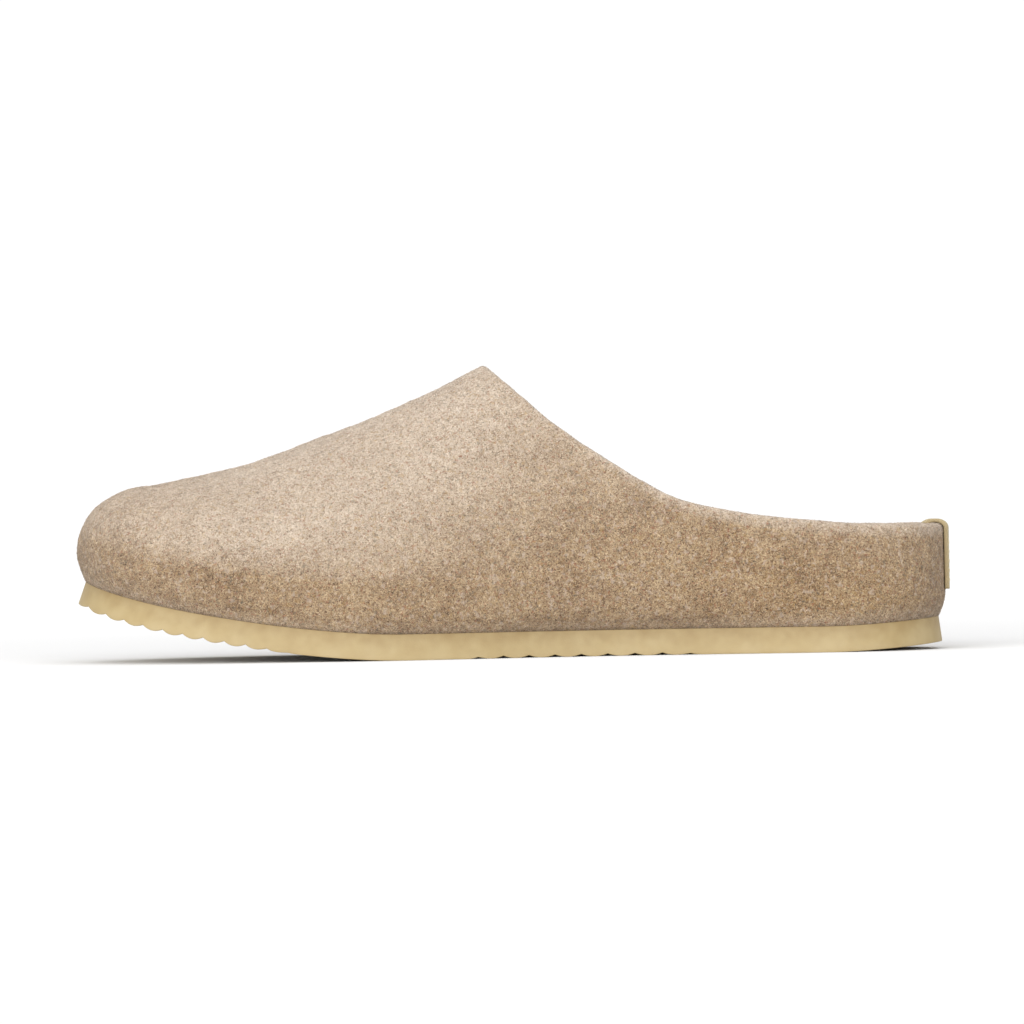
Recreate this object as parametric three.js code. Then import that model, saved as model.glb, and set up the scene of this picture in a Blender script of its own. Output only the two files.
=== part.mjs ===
// A low-backed clog slipper for the right foot: a thick felted wool upper, open at the collar and underneath,
// a contoured wool insole, a flat rubber sole with a ribbed tread, and a leather pull tab folded over the heel.
// Lengths are millimetres and Z is up. The toe points along -X and the wearer's inner (medial) side is at -Y.
// The shoe is worked out with its toe at x = 0, and the group then carries it to the middle of its footprint.
import * as THREE from "three";
import { mergeVertices } from "three/addons/utils/BufferGeometryUtils.js";

// The felt upper, measured over its outside
const LENGTH = 284; // felt toe to felt heel, at the widest line
const BALL_WIDTH = 106;
const INSTEP_HEIGHT = 94.8; // floor to the throat's outer edge
const HEEL_HEIGHT = 39.5; // floor to the collar's outer edge at the back
const VAMP_LENGTH = 133; // felt toe to the throat, where the collar begins
const WALL = 4.6; // thickness of the felt
const LIP = 1.5; // how far the collar's rounded rim stands past its edges
const WIDEST_RISE = 8; // sole to the widest line
const SHOULDER_RISE = 6.5; // how far the vamp's sides stand upright above it before they turn in
const TUCK = 2.3; // how far the felt turns in under its widest line, at the toe and heel
const THROAT_SLANT = 0.5; // the inside of the throat lies back by this share of the wall
const TOE_DEPTH = 19.7; // length over which the toe rounds up to the ridge
const TOE_ROUND_INNER = 50; // length over which the outline closes at the toe, on the wearer's inner side
const TOE_ROUND_OUTER = 80;
const HEEL_ROUND = 38;

// The rubber sole
const SOLE_THICKNESS = 8.4;
const TOE_SPRING = 19.4;
const HEEL_SPRING = 2.6;
const FLARE_TOE = 2.6; // how far the sole's foot stands out past its top edge
const FLARE_HEEL = 1.1;
const RIB_PITCH = 6.1; // at the toe
const RIB_GROWTH = 0.0155; // added to the pitch for each millimetre of sole
const RIB_DEPTH = 1.1;
const FIRST_RIB = 4.1; // toe of the sole to its first groove

// The insole and the pull tab
const INSOLE_THICKNESS = 4.5;
const INSOLE_EDGE = 6; // height of its raised rim
const TAB_WIDTH = 18;
const TAB_THICKNESS = 1.2;
const TAB_OUTER_LEG = 20; // length below the collar's edge, outside
const TAB_ABOVE_INSOLE = 6; // where its inner end stops

const GAP = 0.3; // clearance between neighbouring pieces

// How square each superellipse is: 2 is an ellipse and a higher power is squarer
const PLAN_POWER = 2.1;
const TOE_POWER = 2.3;
const DISH_POWER = 3;

// The plan, before its ends are rounded. Half widths are shares of the ball width, on the wearer's inner and
// outer side, and the tuck columns say how many times TUCK the felt turns in there.
const PLAN = [
  { at: 0.0, inner: 0.434, outer: 0.472, innerTuck: 1.0, outerTuck: 1.0 },
  { at: 0.1, inner: 0.439, outer: 0.486, innerTuck: 1.0, outerTuck: 1.0 },
  { at: 0.2, inner: 0.453, outer: 0.519, innerTuck: 1.0, outerTuck: 1.0 },
  { at: 0.3, inner: 0.462, outer: 0.538, innerTuck: 1.1, outerTuck: 1.1 },
  { at: 0.38, inner: 0.443, outer: 0.542, innerTuck: 1.3, outerTuck: 1.2 },
  { at: 0.46, inner: 0.401, outer: 0.524, innerTuck: 1.7, outerTuck: 1.3 },
  { at: 0.54, inner: 0.354, outer: 0.486, innerTuck: 2.1, outerTuck: 1.4 },
  { at: 0.62, inner: 0.325, outer: 0.443, innerTuck: 2.1, outerTuck: 1.4 },
  { at: 0.7, inner: 0.321, outer: 0.406, innerTuck: 1.8, outerTuck: 1.3 },
  { at: 0.78, inner: 0.33, outer: 0.373, innerTuck: 1.3, outerTuck: 1.1 },
  { at: 0.86, inner: 0.34, outer: 0.349, innerTuck: 1.0, outerTuck: 1.0 },
  { at: 1.0, inner: 0.34, outer: 0.344, innerTuck: 1.0, outerTuck: 1.0 },
];

// The ridge over the foot, as a share of the instep height, with 0 at the toe, 1 at the throat and 2 at the heel.
// Behind the throat it is the last's own top, which the collar cuts away and which gives the walls their lean.
const RIDGE = [
  { at: 0.0, height: 0.575 },
  { at: 0.17, height: 0.611 },
  { at: 0.28, height: 0.635 },
  { at: 0.375, height: 0.662 },
  { at: 0.47, height: 0.7 },
  { at: 0.577, height: 0.755 },
  { at: 0.77, height: 0.851 },
  { at: 0.876, height: 0.918 },
  { at: 1.0, height: 1.0 },
  { at: 1.17, height: 1.09 },
  { at: 1.4, height: 1.03 },
  { at: 1.66, height: 0.88 },
  { at: 2.0, height: 0.78 },
];

// The felt's section, with 0 at the toe, 1 at the throat and 2 at the heel: how square it is across and up, and
// how much of the shoulder's rise it has. The vamp's sides lean in like a roof, and the heel's walls stand up.
const SECTION = [
  { at: 0.0, across: 2.3, up: 2.1, shoulder: 0.0 },
  { at: 0.2, across: 2.1, up: 1.8, shoulder: 0.4 },
  { at: 0.45, across: 1.9, up: 1.5, shoulder: 1.0 },
  { at: 0.75, across: 1.8, up: 1.4, shoulder: 1.0 },
  { at: 1.0, across: 1.8, up: 1.4, shoulder: 1.0 },
  { at: 1.3, across: 2.0, up: 1.7, shoulder: 0.8 },
  { at: 1.6, across: 2.3, up: 2.15, shoulder: 0.3 },
  { at: 2.0, across: 2.3, up: 2.15, shoulder: 0.0 },
];

// The collar's edge, from the throat to the back, as a share of the drop between them
const COLLAR = [
  { at: 0.0, height: 1.0 },
  { at: 0.058, height: 0.863 },
  { at: 0.146, height: 0.644 },
  { at: 0.233, height: 0.476 },
  { at: 0.32, height: 0.318 },
  { at: 0.406, height: 0.19 },
  { at: 0.494, height: 0.1175 },
  { at: 0.667, height: 0.045 },
  { at: 0.842, height: 0.007 },
  { at: 1.0, height: 0.0 },
];

// The sole's underside ahead of the ball, as a share of the toe spring, and the rise at the back of the heel
const TOE_CURVE = [
  { at: 0.0, rise: 1.0 },
  { at: 0.028, rise: 0.83 },
  { at: 0.07, rise: 0.645 },
  { at: 0.113, rise: 0.492 },
  { at: 0.164, rise: 0.345 },
  { at: 0.22, rise: 0.207 },
  { at: 0.268, rise: 0.113 },
  { at: 0.315, rise: 0.043 },
  { at: 0.35, rise: 0.009 },
  { at: 0.37, rise: 0.0 },
];
const HEEL_RISE_FROM = 0.86;
const HEEL_RISE_POWER = 1.6;

// How deep the ribs are along the sole: the pads under the ball and the heel are plain
const RIB_RELIEF = [
  { at: 0.0, depth: 1.0 },
  { at: 0.19, depth: 1.0 },
  { at: 0.27, depth: 0.0 },
  { at: 0.42, depth: 0.0 },
  { at: 0.48, depth: 0.75 },
  { at: 0.67, depth: 0.75 },
  { at: 0.745, depth: 0.0 },
  { at: 1.0, depth: 0.0 },
];

// How finely the surfaces are divided
const VAMP_STEPS = 22;
const QUARTER_STEPS = 24;
const WALL_STEPS = 10;
const TUCK_LEVELS = [0, 0.3, 0.62, 1];
const RIM_STEPS = 4;
const INSOLE_COLUMNS = 8;
const INSOLE_ROWS = 2;
const TIP_STEPS = 6;
const HEEL_STEPS = 9;
const RIB_STEPS = 4;
const SOLE_COLUMNS = 2;
const TAB_COLUMNS = 6;
const TAB_LEG_ROWS = 3;
const HALVINGS = 40;
const MERGE_DISTANCE = 1e-4; // corners closer than this are one

const SIDES = ["inner", "outer"];
const signOf = { inner: -1, outer: 1 };

const clamp01 = (value) => Math.min(Math.max(value, 0), 1);
const mix = (from, to, share) => from + (to - from) * share;
const evenShares = (count) => Array.from({ length: count + 1 }, (_, i) => i / count);

// A table's column at a share of its length: a smooth curve through the rows that never overshoots them.
function along(table, column, at) {
  const last = table.length - 1;
  const here = Math.min(Math.max(at, table[0].at), table[last].at);
  let i = 0;
  while (i < last - 1 && table[i + 1].at < here) i += 1;
  const rate = (k) => (table[k + 1][column] - table[k][column]) / (table[k + 1].at - table[k].at);
  const slope = (k) => {
    if (k === 0) return rate(0);
    if (k === last) return rate(last - 1);
    const [before, after] = [rate(k - 1), rate(k)];
    return before * after <= 0 ? 0 : (2 * before * after) / (before + after);
  };
  const span = table[i + 1].at - table[i].at;
  const t = (here - table[i].at) / span;
  const rest = 1 - t;
  return (
    rest * rest * (1 + 2 * t) * table[i][column] +
    t * t * (3 - 2 * t) * table[i + 1][column] +
    t * rest * rest * span * slope(i) -
    t * t * rest * span * slope(i + 1)
  );
}

// A quarter of a superellipse: 0 at the tip and 1 from one round's length on.
function roundEnd(distance, length, power) {
  const left = 1 - clamp01(distance / length);
  return (1 - left ** power) ** (1 / power);
}

const shareAt = (x) => clamp01(x / LENGTH);

// Height of the sole's underside, ribs left out, and of its top face.
function soleUnder(x) {
  const at = shareAt(x);
  const heel = clamp01((at - HEEL_RISE_FROM) / (1 - HEEL_RISE_FROM));
  return TOE_SPRING * along(TOE_CURVE, "rise", at) + HEEL_SPRING * heel ** HEEL_RISE_POWER;
}
const soleTop = (x) => soleUnder(x) + SOLE_THICKNESS;

// An outline is how far a plan curve lies outside the felt's widest line, as a function of place and side.
const feltLine = (out, tuck) => (at, side) => out - tuck * TUCK * along(PLAN, side + "Tuck", at);
const soleEdge = feltLine(0, 1);
const soleFoot = (at, side) => soleEdge(at, side) + mix(FLARE_TOE, FLARE_HEEL, at);

// Where an outline begins and ends.
const ends = (outline) => ({ front: -outline(0, "inner"), back: LENGTH + outline(1, "inner") });

// Half the width of an outline at x, on one side of the shoe.
function halfWidth(x, side, outline) {
  const at = shareAt(x);
  const { front, back } = ends(outline);
  const toeRound = side === "inner" ? TOE_ROUND_INNER : TOE_ROUND_OUTER;
  return (
    (BALL_WIDTH * along(PLAN, side, at) + outline(at, side)) *
    roundEnd(x - front, toeRound, PLAN_POWER) *
    roundEnd(back - x, HEEL_ROUND, PLAN_POWER)
  );
}

// Where x lies between the toe at 0, the throat at 1 and the heel at 2.
const spanAt = (x) => clamp01(x / VAMP_LENGTH) + clamp01((x - VAMP_LENGTH) / (LENGTH - VAMP_LENGTH));

// Height of the last's ridge, with its toe not yet rounded.
const ridgeHeight = (x) => INSTEP_HEIGHT * along(RIDGE, "height", spanAt(x));

// Height at which the felt's walls begin to turn in.
const shoulderHeight = (x) =>
  soleTop(x) + GAP + WIDEST_RISE + SHOULDER_RISE * along(SECTION, "shoulder", spanAt(x));

// Where the vamp ends, on a surface that lies `out` outside the felt's face.
const throatX = (out) => VAMP_LENGTH - THROAT_SLANT * out;

// Height of the collar's edge at x.
function collarHeight(x, out) {
  const top = lastTop(throatX(out), out);
  const share = clamp01((x - throatX(out)) / (LENGTH + out - throatX(out)));
  return mix(HEEL_HEIGHT, top, along(COLLAR, "height", share));
}

// Height of the last's top at x, rounded down to the shoulder at the toe.
function lastTop(x, out) {
  const low = shoulderHeight(x);
  const rise = ridgeHeight(x) + out - low;
  return low + rise * roundEnd(x + out, TOE_DEPTH + out, TOE_POWER);
}

// Stations run from the toe to the throat and on to the heel, close together where the outline turns.
const STATIONS = VAMP_STEPS + QUARTER_STEPS;
const STATION_LIST = Array.from({ length: STATIONS + 1 }, (_, i) => i);

function stationX(station, outline, out) {
  const { front, back } = ends(outline);
  const throat = throatX(out);
  if (station <= VAMP_STEPS) {
    return mix(throat, front, Math.cos((Math.PI / 2) * (station / VAMP_STEPS)));
  }
  const share = (station - VAMP_STEPS) / QUARTER_STEPS;
  return mix(throat, back, (1 - Math.cos(Math.PI * share)) / 2);
}

// A point under the widest line, where the felt turns in towards the sole. `level` runs from 0 at the sole to 1.
function tuckedPoint(station, side, level, out) {
  const outline = feltLine(out, (1 - level) ** 2);
  const x = stationX(station, outline, out);
  const z = soleTop(x) + GAP + WIDEST_RISE * level;
  return new THREE.Vector3(x, signOf[side] * halfWidth(x, side, outline), z);
}

// A point above the shoulder, on the superelliptic section at its station. `level` runs from 0 there to 1 at the
// ridge, or at the collar's edge behind the throat.
function wallPoint(station, side, level, out) {
  const outline = feltLine(out, 0);
  const x = stationX(station, outline, out);
  const low = shoulderHeight(x);
  const rise = lastTop(x, out) - low;
  const [across, up] = ["across", "up"].map((column) => along(SECTION, column, spanAt(x)));
  let end = Math.PI / 2;
  if (station > VAMP_STEPS) {
    const cut = clamp01((collarHeight(x, out) - low) / rise);
    end = Math.asin(cut ** (up / 2));
  }
  const angle = end * level;
  const wide = level === 1 && station <= VAMP_STEPS ? 0 : Math.cos(angle) ** (2 / across);
  const y = halfWidth(x, side, outline) * wide;
  return new THREE.Vector3(x, signOf[side] * y, low + rise * Math.sin(angle) ** (2 / up));
}

// One column of the felt's surface, from the sole to the ridge or the collar's edge.
function feltColumn(station, side, out) {
  const column = TUCK_LEVELS.map((level) => tuckedPoint(station, side, level, out));
  for (let row = 0; row <= WALL_STEPS; row += 1) {
    column.push(wallPoint(station, side, row / WALL_STEPS, out));
  }
  return column;
}

// Gathers quads and turns them into one closed mesh. A quad's corners go round it as seen from outside.
class Skin {
  constructor() {
    this.corners = [];
  }

  triangle(a, b, c) {
    const apart = (p, q) => p.distanceTo(q) > MERGE_DISTANCE;
    if (apart(a, b) && apart(b, c) && apart(c, a)) this.corners.push(a, b, c);
  }

  quad(a, b, c, d) {
    this.triangle(a, b, c);
    this.triangle(a, c, d);
  }

  // Lines of points laid side by side. Seen from outside, each line runs up and the next one is to its right.
  sheet(lines, turned = false) {
    for (let i = 0; i + 1 < lines.length; i += 1) {
      for (let j = 0; j + 1 < lines[i].length; j += 1) {
        const [a, b, c, d] = [lines[i][j], lines[i + 1][j], lines[i + 1][j + 1], lines[i][j + 1]];
        if (turned) this.quad(a, d, c, b);
        else this.quad(a, b, c, d);
      }
    }
  }

  geometry() {
    const loose = new THREE.BufferGeometry().setFromPoints(this.corners);
    const merged = mergeVertices(loose, MERGE_DISTANCE);
    merged.computeVertexNormals();
    return merged;
  }
}

// The same number of points from one line to another, joined across in straight steps.
function ladder(left, right, shares) {
  return left.map((point, i) => shares.map((share) => point.clone().lerp(right[i], share)));
}

// The collar's rounded rim at one station: a half ellipse from the outer edge to the inner one. It stands out
// square to the rim's own run and to the wall.
function rimLine(outerEdge, innerEdge, run) {
  const through = new THREE.Vector3().subVectors(innerEdge, outerEdge);
  const away = new THREE.Vector3().crossVectors(run, through).normalize();
  if (away.z < 0) away.negate();
  const middle = outerEdge.clone().lerp(innerEdge, 0.5);
  return evenShares(RIM_STEPS).map((share) => {
    const angle = Math.PI * share;
    return middle
      .clone()
      .addScaledVector(through, -0.5 * Math.cos(angle))
      .addScaledVector(away, LIP * Math.sin(angle));
  });
}

// The whole collar, round the back from the throat on the inner side to the throat on the outer side.
function rimLines(columns) {
  const top = (side, face, station) => columns[side][face][station].at(-1);
  const loop = (face) => {
    const inner = [];
    const outer = [];
    for (let station = VAMP_STEPS; station <= STATIONS; station += 1) {
      inner.push(top("inner", face, station));
      if (station < STATIONS) outer.unshift(top("outer", face, station));
    }
    return [...inner, ...outer];
  };
  const [outside, inside] = [loop("outside"), loop("inside")];
  const last = outside.length - 1;
  return outside.map((point, i) => {
    const before = outside[i === 0 ? last - 1 : i - 1];
    const after = outside[i === last ? 1 : i + 1];
    return rimLine(point, inside[i], new THREE.Vector3().subVectors(after, before));
  });
}

// The upper: the felt's outer face, its inner face one wall inside, the collar's rim and the edge on the sole.
function makeUpper() {
  const skin = new Skin();
  const columns = {};
  for (const side of SIDES) {
    columns[side] = {
      outside: STATION_LIST.map((station) => feltColumn(station, side, 0)),
      inside: STATION_LIST.map((station) => feltColumn(station, side, -WALL)),
    };
    const turned = side === "outer";
    skin.sheet(columns[side].outside, turned);
    skin.sheet(columns[side].inside, !turned);
    const foot = STATION_LIST.map((i) => [columns[side].inside[i][0], columns[side].outside[i][0]]);
    skin.sheet(foot, turned);
  }
  skin.sheet(rimLines(columns));
  return skin.geometry();
}

// How far the insole's top lies under its rim: nothing at the edge, and all of the dish away from it.
function dishDepth(x, across, outline) {
  const { front, back } = ends(outline);
  const fromEnds =
    roundEnd(x - front, TOE_ROUND_INNER, DISH_POWER) * roundEnd(back - x, HEEL_ROUND, DISH_POWER);
  return (INSOLE_EDGE - INSOLE_THICKNESS) * (1 - Math.abs(across) ** DISH_POWER) * fromEnds;
}

// The insole fills the foot of the upper. Its rim follows the felt's inner face and its top is dished.
function makeInsole() {
  const skin = new Skin();
  const out = -(WALL + GAP);
  const levels = evenShares(INSOLE_ROWS).map((share) => (share * INSOLE_EDGE) / WIDEST_RISE);
  const walls = {};
  for (const side of SIDES) {
    walls[side] = STATION_LIST.map((i) => levels.map((level) => tuckedPoint(i, side, level, out)));
    skin.sheet(walls[side], side === "outer");
  }
  const rim = (side, row) => walls[side].map((line) => line.at(row));
  const shares = evenShares(INSOLE_COLUMNS);
  const rimOutline = feltLine(out, (1 - levels.at(-1)) ** 2);
  const top = ladder(rim("inner", -1), rim("outer", -1), shares);
  for (const line of top) {
    line.forEach((point, i) => {
      point.z -= dishDepth(point.x, 2 * shares[i] - 1, rimOutline);
    });
  }
  skin.sheet(top);
  skin.sheet(ladder(rim("inner", 0), rim("outer", 0), evenShares(1)), true);
  return skin.geometry();
}

// The grooves across the sole's foot, from its toe to its heel, a little further apart each time.
function grooveList(front, back) {
  const grooves = [];
  for (let x = front + FIRST_RIB; x < back; x += RIB_PITCH + RIB_GROWTH * (x - front)) {
    grooves.push(x);
  }
  return grooves;
}

// Places along the sole's foot: close together round its toe and heel, several to a rib, and one to a groove
// where the pads are plain. Each has the height of the rib's arc there.
function soleStations() {
  const { front, back } = ends(soleFoot);
  const grooves = grooveList(front, back);
  const reliefAt = (x) => along(RIB_RELIEF, "depth", shareAt(x));
  const arcHeight = (x) => {
    const next = grooves.findIndex((groove) => groove >= x);
    const start = next > 0 ? grooves[next - 1] : front + FIRST_RIB - RIB_PITCH;
    const end = next >= 0 ? grooves[next] : back;
    return RIB_DEPTH * reliefAt(x) * (2 * ((x - start) / (end - start)) - 1) ** 2;
  };
  const heel = evenShares(HEEL_STEPS).map((share) => back - HEEL_ROUND * share ** 2);
  const places = evenShares(TIP_STEPS).map((share) => front + FIRST_RIB * share ** 2);
  for (let i = 1; i < grooves.length && grooves[i] < heel.at(-1); i += 1) {
    const [start, end] = [grooves[i - 1], grooves[i]];
    const steps = reliefAt(start) > 0 || reliefAt(end) > 0 ? RIB_STEPS : 1;
    for (const share of evenShares(steps).slice(1)) places.push(mix(start, end, share));
  }
  places.push(...heel.reverse());
  return places.map((x) => ({ x, share: (x - front) / (back - front), rib: arcHeight(x) }));
}

// The sole: a sheet of even thickness, bent up at the toe and the heel, with flared sides and a ribbed foot.
function makeSole() {
  const skin = new Skin();
  const places = soleStations();
  const edge = ends(soleEdge);
  const walls = {};
  for (const side of SIDES) {
    walls[side] = places.map(({ x, share, rib }) => {
      const topX = mix(edge.front, edge.back, share);
      const sign = signOf[side];
      const foot = new THREE.Vector3(x, sign * halfWidth(x, side, soleFoot), soleUnder(x) + rib);
      const top = new THREE.Vector3(topX, sign * halfWidth(topX, side, soleEdge), soleTop(topX));
      return [foot, top];
    });
    skin.sheet(walls[side], side === "outer");
  }
  const rim = (side, row) => walls[side].map((line) => line[row]);
  skin.sheet(ladder(rim("inner", 1), rim("outer", 1), evenShares(SOLE_COLUMNS)));
  skin.sheet(ladder(rim("inner", 0), rim("outer", 0), evenShares(SOLE_COLUMNS)), true);
  return skin.geometry();
}

// Where a surface `out` outside the felt passes a given distance from the middle line, at the back of the heel.
function heelX(y, z, out) {
  const side = y < 0 ? "inner" : "outer";
  const outline = feltLine(out, 0);
  const width = (x) => {
    const [across, up] = ["across", "up"].map((column) => along(SECTION, column, spanAt(x)));
    const low = shoulderHeight(x);
    const height = clamp01((z - low) / (lastTop(x, out) - low));
    return halfWidth(x, side, outline) * (1 - height ** up) ** (1 / across);
  };
  let [ahead, behind] = [LENGTH - HEEL_ROUND, LENGTH + out];
  for (let turn = 0; turn < HALVINGS; turn += 1) {
    const middle = (ahead + behind) / 2;
    if (width(middle) > Math.abs(y)) ahead = middle;
    else behind = middle;
  }
  return ahead;
}

// The pull tab: a strap that lies on the outside of the heel, turns over the rim and runs down inside.
function makePullTab() {
  const innerEnd = soleTop(LENGTH) + GAP + INSOLE_EDGE + TAB_ABOVE_INSOLE;
  const face = (y, out) => {
    const line = [];
    const outerX = (z) => heelX(y, z, GAP + out);
    const innerX = (z) => heelX(y, z, -(WALL + GAP + out));
    for (const share of evenShares(TAB_LEG_ROWS)) {
      const z = HEEL_HEIGHT - TAB_OUTER_LEG * (1 - share);
      line.push(new THREE.Vector3(outerX(z), y, z));
    }
    const middle = (outerX(HEEL_HEIGHT) + innerX(HEEL_HEIGHT)) / 2;
    const half = (outerX(HEEL_HEIGHT) - innerX(HEEL_HEIGHT)) / 2;
    for (const share of evenShares(2 * RIM_STEPS).slice(1, -1)) {
      const angle = Math.PI * share;
      const x = middle + half * Math.cos(angle);
      line.push(new THREE.Vector3(x, y, HEEL_HEIGHT + (LIP + GAP + out) * Math.sin(angle)));
    }
    for (const share of evenShares(TAB_LEG_ROWS)) {
      const z = mix(HEEL_HEIGHT, innerEnd, share);
      line.push(new THREE.Vector3(innerX(z), y, z));
    }
    return line;
  };
  const skin = new Skin();
  const rows = evenShares(TAB_COLUMNS).map((share) => TAB_WIDTH * (share - 0.5));
  const outside = rows.map((y) => face(y, TAB_THICKNESS));
  const inside = rows.map((y) => face(y, 0));
  skin.sheet(outside);
  skin.sheet(inside, true);
  skin.sheet([inside[0], outside[0]]);
  skin.sheet([outside.at(-1), inside.at(-1)]);
  skin.sheet([inside.map((line) => line[0]), outside.map((line) => line[0])], true);
  skin.sheet([inside.map((line) => line.at(-1)), outside.map((line) => line.at(-1))]);
  return skin.geometry();
}

const FINISHES = {
  felt: { color: 0xc3a98b, roughness: 0.95, metalness: 0 },
  lining: { color: 0xb49878, roughness: 0.95, metalness: 0 },
  rubber: { color: 0xcfb483, roughness: 0.6, metalness: 0 },
  leather: { color: 0xc9b68f, roughness: 0.65, metalness: 0 },
};

// A named piece of the slipper in one finish.
function piece(name, geometry, finish) {
  const mesh = new THREE.Mesh(geometry, new THREE.MeshStandardMaterial(FINISHES[finish]));
  mesh.name = name;
  return mesh;
}

const slipper = new THREE.Group();
slipper.add(
  piece("upper", makeUpper(), "felt"),
  piece("insole", makeInsole(), "lining"),
  piece("sole", makeSole(), "rubber"),
  piece("pull_tab", makePullTab(), "leather"),
);

// The origin is on the floor under the middle of the slipper's box.
const box = new THREE.Box3().setFromObject(slipper, true);
const centre = box.getCenter(new THREE.Vector3());
slipper.position.set(-centre.x, -centre.y, -box.min.z);

export default slipper;
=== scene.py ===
"""A low-backed slipper of felted wool on a rubber sole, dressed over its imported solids.

The toe points along -X, the wearer's inner side is at -Y and Z is up. Sizes inside the classes are in
millimetres, and a mesh gets metres. The shoe is worked out with its felt toe at x = 0, and is then carried to
where its solids are.
"""

import logging
import math
from collections.abc import Callable
from dataclasses import dataclass, replace
from enum import Enum

import bpy
import numpy as np
from mathutils import Matrix, Vector


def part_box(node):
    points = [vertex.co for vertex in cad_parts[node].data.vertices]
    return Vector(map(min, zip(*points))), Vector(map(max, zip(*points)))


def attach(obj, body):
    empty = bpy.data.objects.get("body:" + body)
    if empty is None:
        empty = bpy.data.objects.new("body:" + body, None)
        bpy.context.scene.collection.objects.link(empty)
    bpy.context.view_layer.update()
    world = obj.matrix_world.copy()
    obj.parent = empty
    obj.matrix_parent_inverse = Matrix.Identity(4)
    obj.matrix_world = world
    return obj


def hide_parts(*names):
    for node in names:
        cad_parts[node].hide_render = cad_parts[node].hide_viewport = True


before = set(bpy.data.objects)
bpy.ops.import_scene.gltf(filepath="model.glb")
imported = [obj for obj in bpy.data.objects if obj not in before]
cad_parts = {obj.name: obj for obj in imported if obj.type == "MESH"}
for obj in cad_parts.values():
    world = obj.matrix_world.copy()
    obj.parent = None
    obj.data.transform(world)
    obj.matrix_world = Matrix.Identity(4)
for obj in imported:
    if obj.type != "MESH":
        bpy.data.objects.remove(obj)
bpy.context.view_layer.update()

log = logging.getLogger("slipper")

Array = np.ndarray
Colour = tuple[float, float, float, float]
Point = tuple[float, float, float]

MM = 0.001  # metres in a millimetre
BODY = "root"
BAKE_MAP = "OFBake"
MERGE_STEP = 1e-3  # points closer than this, in millimetres, are one
HALVINGS = 40  # steps of a search by halving


def linear(red: int, green: int, blue: int) -> Colour:
    """A display colour, 0 to 255, as the linear colour that shaders use.

    Args:
        red: Display red.
        green: Display green.
        blue: Display blue.

    Returns:
        Linear red, green and blue, with an alpha of 1.
    """
    shares = (value / 255 for value in (red, green, blue))
    return (*(s / 12.92 if s <= 0.04045 else ((s + 0.055) / 1.055) ** 2.4 for s in shares), 1.0)


def evenly(count: int, low: float = 0.0, high: float = 1.0) -> Array:
    """Values from low to high, both of them included, in even steps."""
    return np.linspace(low, high, count + 1)


def mix(start: Array | float, end: Array | float, share: Array | float) -> Array | float:
    """The value a share of the way from start to end."""
    return start + (end - start) * share


def soft_step(low: float, high: float, value: Array) -> Array:
    """0 below low and 1 above high, turning smoothly between them (3t squared less 2t cubed)."""
    share = np.clip((value - low) / (high - low), 0, 1)
    return share * share * (3 - 2 * share)


def round_end(distance: Array, length: float, power: float) -> Array:
    """A quarter of a superellipse: 0 at the tip and 1 from one round's length on."""
    left = 1 - np.clip(distance / length, 0, 1)
    return (1 - left**power) ** (1 / power)


def unit(vectors: Array) -> Array:
    """Vectors along the last axis, each brought to length 1."""
    return vectors / np.maximum(np.linalg.norm(vectors, axis=-1, keepdims=True), 1e-12)


class Side(Enum):
    """A side of the shoe. Its value is the sign of Y there."""

    INNER = -1
    OUTER = 1

    @property
    def plan_column(self) -> str:
        """The plan table's column for this side."""
        return self.name.lower()

    @property
    def tuck_column(self) -> str:
        """The plan table's column for the tuck on this side."""
        return self.plan_column + " tuck"


@dataclass(frozen=True)
class Table:
    """Rows of numbers under named columns, the first column being the place."""

    columns: tuple[str, ...]
    rows: tuple[tuple[float, ...], ...]  # a number for each column

    def values(self, column: str) -> Array:
        """One column as an array."""
        return np.array([row[self.columns.index(column)] for row in self.rows])

    def along(self, column: str, at: Array | float) -> Array:
        """A smooth curve through a column, piecewise cubic, that never overshoots its rows.

        The slope at a row is the harmonic mean of the rates on its two sides, or 0 where they differ in sign.

        Args:
            column: The column to read.
            at: The places to read it at.

        Returns:
            The column's value at each place.
        """
        places, values = self.values(self.columns[0]), self.values(column)
        here = np.clip(at, places[0], places[-1])
        i = np.clip(np.searchsorted(places, here) - 1, 0, len(places) - 2)
        spans = np.diff(places)
        rates = np.diff(values) / spans
        before, after = rates[:-1], rates[1:]
        same_way = before * after > 0
        total = np.where(same_way, before + after, 1.0)
        middle = np.where(same_way, 2 * before * after / total, 0.0)
        slopes = np.concatenate([rates[:1], middle, rates[-1:]])
        t = (here - places[i]) / spans[i]
        rest = 1 - t
        ends = rest**2 * (1 + 2 * t) * values[i] + t**2 * (3 - 2 * t) * values[i + 1]
        return ends + t * rest * spans[i] * (rest * slopes[i] - t * slopes[i + 1])


# The plan before its ends are rounded: half widths as shares of the ball width, and how many times the tuck
# the felt turns in under its widest line
PLAN = Table(
    ("at", "inner", "outer", "inner tuck", "outer tuck"),
    (
        (0.0, 0.434, 0.472, 1.0, 1.0),
        (0.1, 0.439, 0.486, 1.0, 1.0),
        (0.2, 0.453, 0.519, 1.0, 1.0),
        (0.3, 0.462, 0.538, 1.1, 1.1),
        (0.38, 0.443, 0.542, 1.3, 1.2),
        (0.46, 0.401, 0.524, 1.7, 1.3),
        (0.54, 0.354, 0.486, 2.1, 1.4),
        (0.62, 0.325, 0.443, 2.1, 1.4),
        (0.7, 0.321, 0.406, 1.8, 1.3),
        (0.78, 0.33, 0.373, 1.3, 1.1),
        (0.86, 0.34, 0.349, 1.0, 1.0),
        (1.0, 0.34, 0.344, 1.0, 1.0),
    ),
)

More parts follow.
